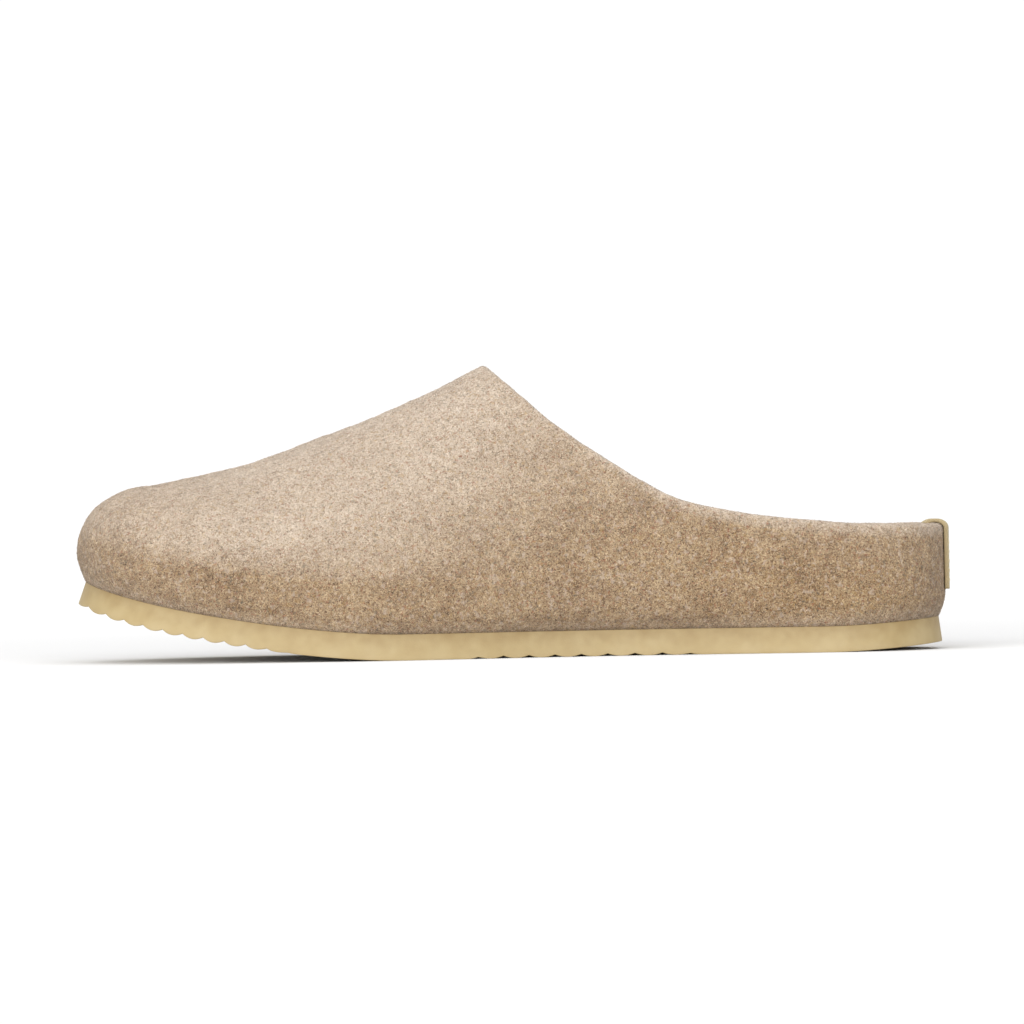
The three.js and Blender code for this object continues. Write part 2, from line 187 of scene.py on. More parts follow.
# The ridge over the foot as a share of the instep height: 0 is the toe, 1 the throat and 2 the heel
RIDGE = Table(
    ("at", "height"),
    (
        (0.0, 0.575), (0.17, 0.611), (0.28, 0.635), (0.375, 0.662), (0.47, 0.7), (0.577, 0.755),
        (0.77, 0.851), (0.876, 0.918), (1.0, 1.0), (1.17, 1.09), (1.4, 1.03), (1.66, 0.88),
        (2.0, 0.78),
    ),
)

# The felt's section along the same places: how square it is across and up, where 2 is an ellipse and a higher
# power is squarer, and how much of the shoulder's full height its wall stands upright
SECTION = Table(
    ("at", "across", "up", "shoulder"),
    (
        (0.0, 2.3, 2.1, 0.0),
        (0.2, 2.1, 1.8, 0.4),
        (0.45, 1.9, 1.5, 1.0),
        (0.75, 1.8, 1.4, 1.0),
        (1.0, 1.8, 1.4, 1.0),
        (1.3, 2.0, 1.7, 0.8),
        (1.6, 2.3, 2.15, 0.3),
        (2.0, 2.3, 2.15, 0.0),
    ),
)

# The collar's edge from the throat to the back, as a share of the drop between them
COLLAR = Table(
    ("at", "height"),
    (
        (0.0, 1.0), (0.058, 0.863), (0.146, 0.644), (0.233, 0.476), (0.32, 0.318), (0.406, 0.19),
        (0.494, 0.1175), (0.667, 0.045), (0.842, 0.007), (1.0, 0.0),
    ),
)

# The sole's underside ahead of the ball, as a share of the toe spring
TOE_CURVE = Table(
    ("at", "rise"),
    (
        (0.0, 1.0), (0.028, 0.83), (0.07, 0.645), (0.113, 0.492), (0.164, 0.345), (0.22, 0.207),
        (0.268, 0.113), (0.315, 0.043), (0.35, 0.009), (0.37, 0.0),
    ),
)

# How deep the ribs are along the sole: the pads under the ball and the heel are plain
RIB_RELIEF = Table(
    ("at", "depth"),
    (
        (0.0, 1.0), (0.19, 1.0), (0.27, 0.0), (0.42, 0.0), (0.48, 0.75), (0.67, 0.75), (0.745, 0.0),
        (1.0, 0.0),
    ),
)


@dataclass(frozen=True)
class Outline:
    """How far a plan curve lies outside the felt's widest line."""

    out: Array | float = 0.0  # even distance outside
    tuck: Array | float = 0.0  # share of the felt's tuck that it lies inside
    flare: float = 0.0  # share of the sole's flare that it stands out by


@dataclass(frozen=True)
class Last:
    """The form that felt, insole and sole are all shaped on."""

    length: float = 284.0  # over the felt
    ball_width: float = 106.0
    instep_height: float = 94.8  # at the throat
    heel_height: float = 39.5  # of the collar at the back
    vamp_length: float = 133.0  # from the toe to the throat
    wall: float = 4.6  # thickness of the felt
    lip: float = 1.5  # height of the collar's rounded rim
    widest_rise: float = 8.0  # from the felt's foot to its widest line
    shoulder_rise: float = 6.5  # from there to the shoulder, where the table says 1
    tuck: float = 2.3  # how far the felt turns in under its widest line
    throat_slant: float = 0.5  # how far the throat moves ahead for each millimetre outside the felt
    toe_depth: float = 19.7  # length of the toe's round, seen from the side
    toe_round_inner: float = 50.0  # lengths of the plan's rounds
    toe_round_outer: float = 80.0
    heel_round: float = 38.0
    sole_thickness: float = 8.4  # ribs and all
    toe_spring: float = 19.4  # how high the sole's ends stand over the floor
    heel_spring: float = 2.6
    heel_rise_from: float = 0.86  # share of the length where the heel begins to rise
    heel_rise_power: float = 1.6
    flare_toe: float = 2.6  # how far the sole's foot stands out over its top
    flare_heel: float = 1.1
    plan_power: float = 2.1  # how square the plan's rounds are
    toe_power: float = 2.3  # how square the toe's round is, seen from the side
    gap: float = 0.3  # clearance between neighbours
    seat: float = 0.1  # share of the gap left under the felt's foot

    def over_seat(self, x: Array, z: Array) -> Array:
        """How far heights lie over the sole and its clearance, where the felt stands."""
        return z - self.sole_top(x) - self.gap

    def share_at(self, x: Array) -> Array:
        """Places along the shoe as shares of its length."""
        return np.clip(x / self.length, 0, 1)

    def sole_under(self, x: Array) -> Array:
        """Height of the sole's underside, its ribs left out: the toe's curve and the heel's power curve."""
        at = self.share_at(x)
        heel = np.clip((at - self.heel_rise_from) / (1 - self.heel_rise_from), 0, 1)
        return self.toe_spring * TOE_CURVE.along("rise", at) + self.heel_spring * heel**self.heel_rise_power

    def sole_top(self, x: Array) -> Array:
        """Height of the sole's top face."""
        return self.sole_under(x) + self.sole_thickness

    def outset(self, line: Outline, at: Array | float, side: Side) -> Array:
        """How far an outline lies outside the felt's widest line at a share of the length."""
        turned_in = line.tuck * self.tuck * PLAN.along(side.tuck_column, at)
        return line.out - turned_in + line.flare * mix(self.flare_toe, self.flare_heel, at)

    def ends(self, line: Outline) -> tuple[Array, Array]:
        """Where an outline begins and ends along X."""
        return -self.outset(line, 0.0, Side.INNER), self.length + self.outset(line, 1.0, Side.INNER)

    def half_width(self, x: Array, side: Side, line: Outline) -> Array:
        """Half the width of an outline: the plan table's width, rounded at the toe and the heel.

        Args:
            x: Places along the shoe.
            side: The side of the shoe.
            line: The outline.

        Returns:
            The distance of the outline from the middle line at each place.
        """
        at = self.share_at(x)
        front, back = self.ends(line)
        toe_round = self.toe_round_inner if side is Side.INNER else self.toe_round_outer
        width = self.ball_width * PLAN.along(side.plan_column, at) + self.outset(line, at, side)
        toe = round_end(x - front, toe_round, self.plan_power)
        return width * toe * round_end(back - x, self.heel_round, self.plan_power)

    def span_at(self, x: Array) -> Array:
        """Places by their share of the vamp, or past 1 by their share of the quarters."""
        behind = np.clip((x - self.vamp_length) / (self.length - self.vamp_length), 0, 1)
        return np.clip(x / self.vamp_length, 0, 1) + behind

    def widest_height(self, x: Array) -> Array:
        """Height of the felt's widest line."""
        return self.sole_top(x) + self.gap + self.widest_rise

    def shoulder_height(self, x: Array) -> Array:
        """Height at which the wall, upright from the widest line, begins to turn in."""
        return self.widest_height(x) + self.shoulder_rise * SECTION.along("shoulder", self.span_at(x))

    def throat_x(self, out: float) -> float:
        """Where the vamp ends, on a surface that lies out outside the felt's face."""
        return self.vamp_length - self.throat_slant * out

    def top_height(self, x: Array, out: float) -> Array:
        """Height of the last's ridge, rounded down to the shoulder at the toe."""
        low = self.shoulder_height(x)
        ridge = self.instep_height * RIDGE.along("height", self.span_at(x))
        return low + (ridge + out - low) * round_end(x + out, self.toe_depth + out, self.toe_power)

    def collar_height(self, x: Array, out: float) -> Array:
        """Height of the collar's edge: the collar table between the throat's top and the heel's height."""
        throat = self.throat_x(out)
        top = self.top_height(np.array(throat), out)
        share = np.clip((x - throat) / (self.length + out - throat), 0, 1)
        return mix(self.heel_height, top, COLLAR.along("height", share))

    def station_x(self, station: Array, line: Outline, out: float) -> Array:
        """Where a station lies along X: 0 is the toe, 1 the throat and 2 the heel, closest at the ends."""
        front, back = self.ends(line)
        throat = self.throat_x(out)
        vamp = mix(throat, front, np.cos(math.pi / 2 * np.minimum(station, 1)))
        rear = mix(throat, back, (1 - np.cos(math.pi * (station - 1))) / 2)
        return np.where(station <= 1, vamp, rear)

    def tucked(self, station: Array, side: Side, level: Array, out: float) -> Array:
        """Points under the widest line, where the felt turns in by the square of the distance from that line.

        Args:
            station: Stations, down the first axis.
            side: The side of the shoe.
            level: Levels from 0 at the sole to 1 at the widest line, along the second axis.
            out: How far outside the felt's face the surface lies.

        Returns:
            Points, stations by levels.
        """
        line = Outline(out=out, tuck=(1 - level) ** 2)
        x = self.station_x(station, line, out)
        y = side.value * self.half_width(x, side, line)
        seat = self.sole_top(x) + self.gap * mix(self.seat, 1.0, np.minimum(level, 1))
        return np.stack([x, y, seat + self.widest_rise * level], axis=-1)

    def walls(self, station: Array, side: Side, level: Array, out: float) -> Array:
        """Points on the superelliptic sections above the shoulder, up to the ridge or the collar's edge.

        Args:
            station: Stations, down the first axis.
            side: The side of the shoe.
            level: Levels from 0 at the shoulder to 1 at the top, along the second axis.
            out: How far outside the felt's face the surface lies.

        Returns:
            Points, stations by levels.
        """
        line = Outline(out=out)
        x = self.station_x(station, line, out)
        low = self.shoulder_height(x)
        rise = self.top_height(x, out) - low
        across, up = (SECTION.along(name, self.span_at(x)) for name in ("across", "up"))
        cut = np.clip((self.collar_height(x, out) - low) / np.maximum(rise, 1e-9), 0, 1)
        end = np.where(station > 1, np.arcsin(cut ** (up / 2)), math.pi / 2)
        angle = end * level
        wide = np.where((level == 1) & (station <= 1), 0, np.cos(angle) ** (2 / across))
        y = side.value * self.half_width(x, side, line) * wide
        return np.stack([x + 0 * y, y, low + rise * np.sin(angle) ** (2 / up)], axis=-1)

    def heel_x(self, y: Array, z: Array, out: Array | float) -> Array:
        """Where a surface outside the felt passes a given place at the back of the heel, found by halving.

        Args:
            y: Distances from the middle line.
            z: Heights.
            out: How far outside the felt's face the surface lies.

        Returns:
            The place along X for each pair of y and z.
        """
        y, z, out = np.broadcast_arrays(y, z, out)
        ahead = np.full(y.shape, self.length - self.heel_round)
        behind = self.length + out
        for _ in range(HALVINGS):
            middle = (ahead + behind) / 2
            inner, outer = (self._width_at(middle, z, out, side) for side in Side)
            inside = np.where(y < 0, inner, outer) > np.abs(y)
            ahead = np.where(inside, middle, ahead)
            behind = np.where(inside, behind, middle)
        return ahead

    def _width_at(self, x: Array, z: Array, out: Array, side: Side) -> Array:
        """Half the felt's width at a height: the superelliptic section solved for its width."""
        low = self.shoulder_height(x)
        ridge = self.instep_height * RIDGE.along("height", self.span_at(x))
        across, up = (SECTION.along(name, self.span_at(x)) for name in ("across", "up"))
        height = np.clip((z - low) / (ridge + out - low), 0, 1)
        return self.half_width(x, side, Outline(out=out)) * (1 - height**up) ** (1 / across)


@dataclass(frozen=True)
class Place:
    """Carries the shoe from its own frame to where its solids are."""

    shift: Point  # in millimetres

    @classmethod
    def from_solids(cls) -> "Place":
        """Reads the felt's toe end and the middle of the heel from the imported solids."""
        upper_low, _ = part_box("upper")
        tab_low, tab_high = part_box("pull_tab")
        return cls((upper_low.x / MM, (tab_low.y + tab_high.y) / 2 / MM, 0.0))

    def carry(self, points: Array) -> Array:
        """Points in millimetres of the shoe's frame, as metres of the solids' frame."""
        return (points + np.array(self.shift)) * MM


@dataclass(frozen=True)
class Tile:
    """A rectangle of a piece's bake map."""

    left: float
    bottom: float
    right: float
    top: float

    def spread(self, lines: int, points: int) -> Array:
        """An even grid of map coordinates over the tile, lines by points."""
        u = np.linspace(self.left, self.right, lines)[:, None]
        v = np.linspace(self.bottom, self.top, points)[None, :]
        return np.stack(np.broadcast_arrays(u, v), axis=-1)


def linked(name: str, data: bpy.types.ID) -> bpy.types.Object:
    """A new object of some data, linked to the scene."""
    thing = bpy.data.objects.new(name, data)
    bpy.context.scene.collection.objects.link(thing)
    return thing


def surface_object(
    name: str, points: Array, faces: Array, bake_map: Array, marks: dict[str, Array]
) -> bpy.types.Object:
    """Makes a smooth mesh object at the origin.

    Args:
        name: The piece's name.
        points: Corners in metres.
        faces: Corner numbers, three to a face.
        bake_map: Map coordinates of each face's corners.
        marks: Numbers at each corner, by attribute name.

    Returns:
        The new object, linked to the scene.
    """
    mesh = bpy.data.meshes.new(name)
    mesh.vertices.add(len(points))
    mesh.vertices.foreach_set("co", points.astype(np.float32).ravel())
    mesh.loops.add(faces.size)
    mesh.loops.foreach_set("vertex_index", faces.astype(np.int32).ravel())
    mesh.polygons.add(len(faces))
    mesh.polygons.foreach_set("loop_start", np.arange(0, faces.size, 3, dtype=np.int32))
    mesh.update(calc_edges=True)
    mesh.polygons.foreach_set("use_smooth", np.ones(len(faces), bool))
    mesh.uv_layers.new(name=BAKE_MAP).data.foreach_set("uv", bake_map.astype(np.float32).ravel())
    for mark, values in marks.items():
        mesh.attributes.new(mark, "FLOAT", "POINT").data.foreach_set("value", values.astype(np.float32))
    return linked(name, mesh)


class Shell:
    """Gathers grids of points and joins them into one skin."""

    def __init__(self) -> None:
        """Starts with no sheets."""
        self._points: list[Array] = []
        self._faces: list[Array] = []
        self._map: list[Array] = []
        self._marks: dict[str, list[Array]] = {}
        self._count = 0

    def sheet(self, grid: Array, tile: Tile, turned: bool = False, **marks: Array | float) -> None:
        """Adds a grid. Seen from outside, each line of points runs up and the next one is to its right.

        Args:
            grid: Points, lines by points.
            tile: Where the grid lies in the bake map.
            turned: Whether outside is the grid's other face.
            **marks: Numbers at each point, by attribute name.
        """
        lines, rows = grid.shape[:2]
        number = self._count + np.arange(lines * rows).reshape(lines, rows)
        a, b, c, d = number[:-1, :-1], number[1:, :-1], number[1:, 1:], number[:-1, 1:]
        corners = [(a, d, c), (a, c, b)] if turned else [(a, b, c), (a, c, d)]
        self._faces += [np.stack(three, axis=-1).reshape(-1, 3) for three in corners]
        self._points.append(grid.reshape(-1, 3))
        self._map.append(tile.spread(lines, rows).reshape(-1, 2))
        for name, values in marks.items():
            self._marks.setdefault(name, []).append(np.broadcast_to(values, (lines, rows)).ravel())
        self._count += lines * rows

    def skin(self) -> "Skin":
        """Joins the sheets: points that coincide become one, and faces with no area go.

        Returns:
            The joined skin.
        """
        points, faces = np.concatenate(self._points), np.concatenate(self._faces)
        rounded = np.round(points / MERGE_STEP).astype(np.int64)
        _, first, owner = np.unique(rounded, axis=0, return_index=True, return_inverse=True)
        joined = owner.reshape(-1)[faces]
        a, b, c = joined.T
        whole = (a != b) & (b != c) & (c != a)
        marks = {name: np.concatenate(values)[first] for name, values in self._marks.items()}
        return Skin(points[first], joined[whole], np.concatenate(self._map)[faces[whole]], marks)


@dataclass
class Skin:
    """A joined triangle skin in the shoe's own frame."""

    points: Array
    faces: Array  # point numbers, three to a face
    bake_map: Array  # map coordinates of each face's corners
    marks: dict[str, Array]  # numbers at each point, by attribute name

    def normals(self) -> Array:
        """The unit normal at each point: the mean of the faces round it, by area."""
        a, b, c = (self.points[self.faces[:, i]] for i in range(3))
        flat = np.cross(b - a, c - a)
        total = np.zeros_like(self.points)
        for i in range(3):
            np.add.at(total, self.faces[:, i], flat)
        return unit(total)

    def swell(self, height: Array) -> None:
        """Moves each point along its normal by its height."""
        self.points = self.points + self.normals() * height[:, None]

    def piece(self, name: str, place: Place) -> bpy.types.Object:
        """The skin as an object where its solid is."""
        return surface_object(name, place.carry(self.points), self.faces, self.bake_map, self.marks)


@dataclass(frozen=True)
class Unevenness:
    """A smooth random height: a sum of plane waves that run in random directions."""

    size: float  # typical wave length
    height: float  # root mean square height
    seed: int
    waves: int = 28
    spread: tuple[float, float] = (0.7, 1.5)  # the shortest and the longest wave, in sizes

    def at(self, points: Array) -> Array:
        """The height at each point, the sum of cosines scaled to the wanted height."""
        rng = np.random.default_rng(self.seed)
        ways = unit(rng.normal(size=(self.waves, 3)))
        lengths = self.size * rng.uniform(*self.spread, self.waves)
        phases = rng.uniform(0, 2 * math.pi, self.waves)
        total = np.cos(points @ (ways.T * 2 * math.pi / lengths) + phases).sum(axis=-1)
        return self.height * math.sqrt(2 / self.waves) * total


@dataclass(frozen=True)
class Crease:
    """A soft trough that wear presses into one side of the vamp, straight from one place to another."""

    side: Side
    start: tuple[float, float]  # where it starts, along X and Z
    end: tuple[float, float]  # where it ends, along X and Z
    width: float  # from its middle line to where it has faded to a third
    depth: float  # depth along its middle line
    fade_in: tuple[float, float] = (-0.1, 0.3)  # shares of its run between which it deepens
    fade_out: tuple[float, float] = (0.7, 1.1)  # shares of its run between which it runs out
    side_fade: tuple[float, float] = (0.0, 8.0)  # the same across the shoe, from its middle line

    def at(self, points: Array) -> Array:
        """The height at each point, below 0 in the trough: a bell across it that fades out at its ends."""
        start, end = np.array(self.start), np.array(self.end)
        run = end - start
        flat = points[:, [0, 2]] - start
        share = flat @ run / (run @ run)
        aside = np.linalg.norm(flat - np.clip(share, 0, 1)[:, None] * run, axis=-1)
        ends = soft_step(*self.fade_in, share) * (1 - soft_step(*self.fade_out, share))
        own_side = soft_step(*self.side_fade, self.side.value * points[:, 1])
        return -self.depth * np.exp(-((aside / self.width) ** 2)) * ends * own_side


# Where a foot bends the vamp: under the throat and over the ball, the same on both sides
CREASES = tuple(
    Crease(side, start, end, width, depth)
    for side in Side
    for start, end, width, depth in (
        ((127.0, 66.0), (150.0, 24.0), 7.0, 0.55),
        ((112.0, 76.0), (118.0, 40.0), 5.0, 0.3),
        ((64.0, 58.0), (92.0, 26.0), 6.5, 0.35),
    )
)


def arithmetic(operation: str, swapped: bool = False) -> Callable[["Wire", "Wire | float"], "Wire"]:
    """Makes the method of Wire that stands for a sign.

    Args:
        operation: The Math node's operation.
        swapped: Whether the other value comes first.

    Returns:
        The method.
    """

    def method(self: "Wire", other: "Wire | float") -> "Wire":
        """The two values joined by a Math node."""
        return self.math(operation, *((other, self) if swapped else (self, other)))

    return method


class Wire:
    """One output socket. Arithmetic on it adds Math nodes to its tree."""

    __add__ = arithmetic("ADD")
    __radd__ = arithmetic("ADD", swapped=True)
    __sub__ = arithmetic("SUBTRACT")
    __rsub__ = arithmetic("SUBTRACT", swapped=True)
    __mul__ = arithmetic("MULTIPLY")

    def __init__(self, nodes: "Nodes", socket: bpy.types.NodeSocket | None) -> None:
        """Wraps a socket of a tree."""
        self.nodes = nodes
        self.socket = socket

    def math(self, operation: str, *values: "Wire | float") -> "Wire":
        """A Math node on up to two values."""
        return self.nodes.add("Math", {"operation": operation}, dict(enumerate(values)))

    def __abs__(self) -> "Wire":
        """The distance from 0."""
        return self.math("ABSOLUTE", self)

    def step(self, low: float, high: float) -> "Wire":
        """0 at low and 1 at high, turning smoothly between them."""
        settings = {"interpolation_type": "SMOOTHSTEP"}
        return self.nodes.add("MapRange", settings, {"Value": self, "From Min": low, "From Max": high})

    def scaled(self, factor: float) -> "Wire":
        """A vector times a number."""
        return self.nodes.add("VectorMath", {"operation": "SCALE"}, {"Vector": self, "Scale": factor})

    def moved(self, shift: Point) -> "Wire":
        """A vector plus a fixed vector."""
        return self.nodes.add("VectorMath", {"operation": "ADD"}, {0: self, 1: shift})


class Nodes:
    """Adds nodes to one node tree, which starts empty."""

    def __init__(self, tree: bpy.types.NodeTree) -> None:
        """Clears the tree and keeps it."""
        tree.nodes.clear()
        self.tree = tree

    def add(
        self,
        kind: str,
        settings: dict[str, object] | None = None,
        inputs: dict[str | int, object] | None = None,
        output: str | int = 0,
    ) -> Wire:
        """Adds one node.

        Args:
            kind: The node's type, without its ShaderNode prefix.
            settings: Properties of the node, set first. The stops of a ramp are given as "stops".
            inputs: A value or a wire for each socket, by its name or number.
            output: The output to return.

        Returns:
            The output's wire.
        """
        node = self.tree.nodes.new("ShaderNode" + kind)
        for name, value in (settings or {}).items():
            if name == "stops":
                self._set_stops(node.color_ramp, value)
            else:
                setattr(node, name, value)
        for name, value in (inputs or {}).items():
            if isinstance(value, Wire):
                self.tree.links.new(value.socket, node.inputs[name])
            else:
                node.inputs[name].default_value = value
        return Wire(self, node.outputs[output] if node.outputs else None)

    @staticmethod
    def _set_stops(ramp: bpy.types.ColorRamp, stops: list[tuple[float, Colour]]) -> None:
        """Gives a ramp its stops, each a place and a colour."""
        while len(ramp.elements) < len(stops):
            ramp.elements.new(1.0)
        for element, (place, colour) in zip(ramp.elements, stops):
            element.position = place
            element.color = colour

    def millimetres(self) -> Wire:
        """The piece's own coordinates in millimetres."""
        return self.add("TexCoord", output="Object").scaled(1 / MM)

    def mark(self, name: str) -> Wire:
        """The number that the piece carries at each point under an attribute's name."""
        return self.add("Attribute", {"attribute_name": name}, output="Fac")

    def noise(
        self, at: Wire, size: float, detail: float = 0.0, curl: float = 0.0, shift: float = 0.0
    ) -> Wire:
        """Smooth noise from 0 to 1 about 0.5.

        Args:
            at: Where to read it, in millimetres.
            size: Size of its blobs in millimetres.
            detail: How many finer octaves are added.
            curl: How much it is twisted on itself.
            shift: Moves the pattern, so that two of a size differ.

        Returns:
            The noise.
        """
        place = at.moved((shift, -shift, 2 * shift)) if shift else at
        inputs = {"Vector": place, "Scale": 1 / size, "Detail": detail, "Distortion": curl}
        return self.add("TexNoise", None, inputs)

    def tint(self, under: Wire | Colour, over: Wire | Colour, share: Wire | float) -> Wire:
        """One colour laid over another by a share."""
        return self.add("Mix", {"data_type": "RGBA"}, {0: share, 6: under, 7: over}, 2)

    def bump(self, height: Wire, depth: float) -> Wire:
        """A normal bent by a height from 0 to 1 that stands for a depth in millimetres."""
        return self.add("Bump", None, {"Height": height, "Distance": depth * MM, "Strength": 1.0})

    def surface(self, inputs: dict[str, object]) -> None:
        """Ends the tree in a Principled surface with the inputs given."""
        shader = self.add("BsdfPrincipled", None, inputs)
        self.add("OutputMaterial", None, {"Surface": shader})


def new_material(name: str) -> tuple[bpy.types.Material, Nodes]:
    """A material with an empty tree.

    Args:
        name: The material's name.

    Returns:
        The material and its nodes.
    """
    material = bpy.data.materials.new(name)
    material.use_nodes = True
    return material, Nodes(material.node_tree)


@dataclass(frozen=True)
class Fleck:
    """Dyed wool that shows in small soft patches."""

    colour: Colour
    size: float  # of a patch
    low: float  # noise at which a patch begins to show
    high: float  # noise from which it shows wholly
    strength: float
    shift: float  # moves the pattern, so that no two coincide


WOOL_FLECKS = (
    Fleck(linear(150, 92, 66), 0.9, 0.60, 0.72, 0.5, 31.0),
    Fleck(linear(166, 132, 76), 1.3, 0.57, 0.72, 0.36, 57.0),
    Fleck(linear(104, 100, 84), 0.9, 0.59, 0.72, 0.5, 83.0),
    Fleck(linear(204, 186, 170), 1.5, 0.56, 0.72, 0.42, 109.0),
)


@dataclass(frozen=True)
class Tones:
    """The colours of a stretch of wool."""

    deep: Colour  # between the fibres
    ground: Colour  # the mean
    pale: Colour  # the lightest fibres


@dataclass(frozen=True)
class WoolFinish:
    """Felted wool: clouds of tone, tinted flecks and curly fibres, with a painted highlight on faces that
    look up.
    """

    name: str
    # Its tones on upright walls, which have no painted highlight
    sides: Tones = Tones(linear(60, 35, 18), linear(146, 115, 79), linear(214, 188, 148))
    # Its tones on faces that look up, paler to paint the highlight and sheen that light from above gives them
    painted_highlight_tones: Tones = Tones(linear(130, 104, 80), linear(191, 172, 150), linear(228, 213, 195))
    cloud: float = 0.42  # strength of the clouds of tone
    fibre: float = 0.24  # strength of the fibres in the colour
    relief: float = 0.3  # depth of the fibres in millimetres
    sheen: float = 0.2  # strength of the fuzz's sheen
    flecks: tuple[Fleck, ...] = WOOL_FLECKS  # the tinted patches

    def _clouds(self, nodes: Nodes, at: Wire) -> Wire:
        """Soft changes of tone about 0, in large and small clouds."""
        large = nodes.noise(at, 17.0, detail=1.0, shift=7.0) - 0.5
        middle = nodes.noise(at, 6.0, detail=1.0, curl=0.3, shift=47.0) - 0.5
        small = nodes.noise(at, 2.6, detail=2.0, shift=19.0) - 0.5
        return (large * 0.5 + middle * 0.5 + small) * self.cloud

    def _tinted(self, nodes: Nodes, at: Wire, colour: Wire) -> Wire:
        """A colour with the flecks laid over it."""
        for fleck in self.flecks:
            patches = nodes.noise(at, fleck.size, detail=1.0, curl=0.4, shift=fleck.shift)
            share = patches.step(fleck.low, fleck.high) * fleck.strength
            colour = nodes.tint(colour, fleck.colour, share)
        return colour

    def _toned(self, nodes: Nodes, tone: Wire) -> Wire:
        """The wool's colour for a tone from 0, deep, through 0.5, the ground, to 1, pale."""
        ramps = []
        for tones in (self.sides, self.painted_highlight_tones):
            stops = [(0.0, tones.deep), (0.5, tones.ground), (1.0, tones.pale)]
            ramps.append(nodes.add("ValToRGB", {"stops": stops}, {"Fac": tone}))
        # Blends the wall tones into the painted highlight tones by the painted light attribute
        return nodes.tint(*ramps, nodes.mark("painted_light"))

    def _surface(self, nodes: Nodes, colour: Wire, normal: Wire | None) -> None:
        """Ends the tree in a matt surface with a soft sheen."""
        inputs = {
            "Base Color": colour,
            "Roughness": 0.92,
            "Specular IOR Level": 0.3,
            "Sheen Weight": self.sheen,
            "Sheen Roughness": 0.6,
            "Sheen Tint": (1.0, 1.0, 1.0, 1.0),
        }
        if normal:
            inputs["Normal"] = normal
        nodes.surface(inputs)

    def _fibres(self, nodes: Nodes, at: Wire, size: float, width: float, shift: float) -> Wire:
        """Curly lines: where a smooth noise passes through its middle value."""
        smooth = nodes.noise(at, size, detail=1.0, curl=0.9, shift=shift)
        return 1.0 - abs(smooth - 0.5).step(0.0, width)

    def felt(self) -> bpy.types.Material:
        """The felt itself.

        Returns:
            Its material.
        """
        material, nodes = new_material(self.name)
        at = nodes.millimetres()
        light_lines = self._fibres(nodes, at, size=0.85, width=0.085, shift=3.0)
        fine_lines = self._fibres(nodes, at, size=0.6, width=0.09, shift=11.0)
        dark_lines = self._fibres(nodes, at, size=0.75, width=0.08, shift=23.0)
        grain = nodes.noise(at, 0.36, detail=1.0, shift=41.0) - 0.5
        strands = light_lines + fine_lines * 0.7 - dark_lines * 1.2
        specks = nodes.noise(at, 0.55, detail=1.0, shift=53.0).step(0.56, 0.68)
        tone = 0.52 + self._clouds(nodes, at) + strands * self.fibre + grain * 0.9 - specks * 0.4
        colour = self._tinted(nodes, at, self._toned(nodes, tone))
        lumps = nodes.noise(at, 2.2, detail=1.0, shift=67.0)
        height = light_lines * 0.35 + fine_lines * 0.25 + grain * 0.6 + lumps * 0.9
        self._surface(nodes, colour, nodes.bump(height, self.relief))
        return material

    def strands(self, name: str) -> bpy.types.Material:
        """Single fibres, whose tone is an attribute of their piece.

        Args:
            name: The material's name.

        Returns:
            Its material.
        """
        material, nodes = new_material(name)
        at = nodes.millimetres()
        tone = nodes.mark("tone") + self._clouds(nodes, at)
        # The fibres carry the felt's painted light attribute too, through the same tones
        colour = self._tinted(nodes, at, self._toned(nodes, tone))
        self._surface(nodes, colour, None)
        return material


@dataclass(frozen=True)
class RubberFinish:
    """Pale crepe-like rubber with soft mottling and painted shade towards the felt, under its overhang."""

    name: str = "sole_rubber"
    ground: Colour = linear(176, 156, 114)  # mean colour
    warm: Colour = linear(171, 150, 107)  # colour of the darker mottling
    pale: Colour = linear(180, 161, 121)  # colour of the lighter mottling
    joint: Colour = linear(138, 112, 70)  # colour of the painted shade next to the felt, under its overhang

    def material(self) -> bpy.types.Material:
        """The rubber's material."""
        material, nodes = new_material(self.name)
        at = nodes.millimetres()
        blotches = nodes.noise(at, 9.0, detail=2.0, shift=5.0)
        stops = [(0.3, self.warm), (0.5, self.ground), (0.72, self.pale)]
        colour = nodes.add("ValToRGB", {"stops": stops}, {"Fac": blotches})
        specks = nodes.noise(at, 0.9, detail=1.0, shift=13.0).step(0.66, 0.78)
        colour = nodes.tint(colour, self.warm, specks * 0.35)
        wander = nodes.noise(at, 4.0, detail=1.0, shift=29.0) - 0.5
        # Painted shade: darker towards the top of the sole's side, under the felt's overhang
        near = (nodes.mark("joint") + wander * 0.5).step(0.25, 1.1)
        colour = nodes.tint(colour, self.joint, near * 0.75)
        grain = nodes.noise(at, 0.5, detail=2.0, shift=17.0)
        inputs = {
            "Base Color": colour,
            "Roughness": 0.52 + (blotches - 0.5) * 0.2,
            "Specular IOR Level": 0.35,
            "Normal": nodes.bump(grain + blotches * 0.3, 0.05),
        }
        nodes.surface(inputs)
        return material


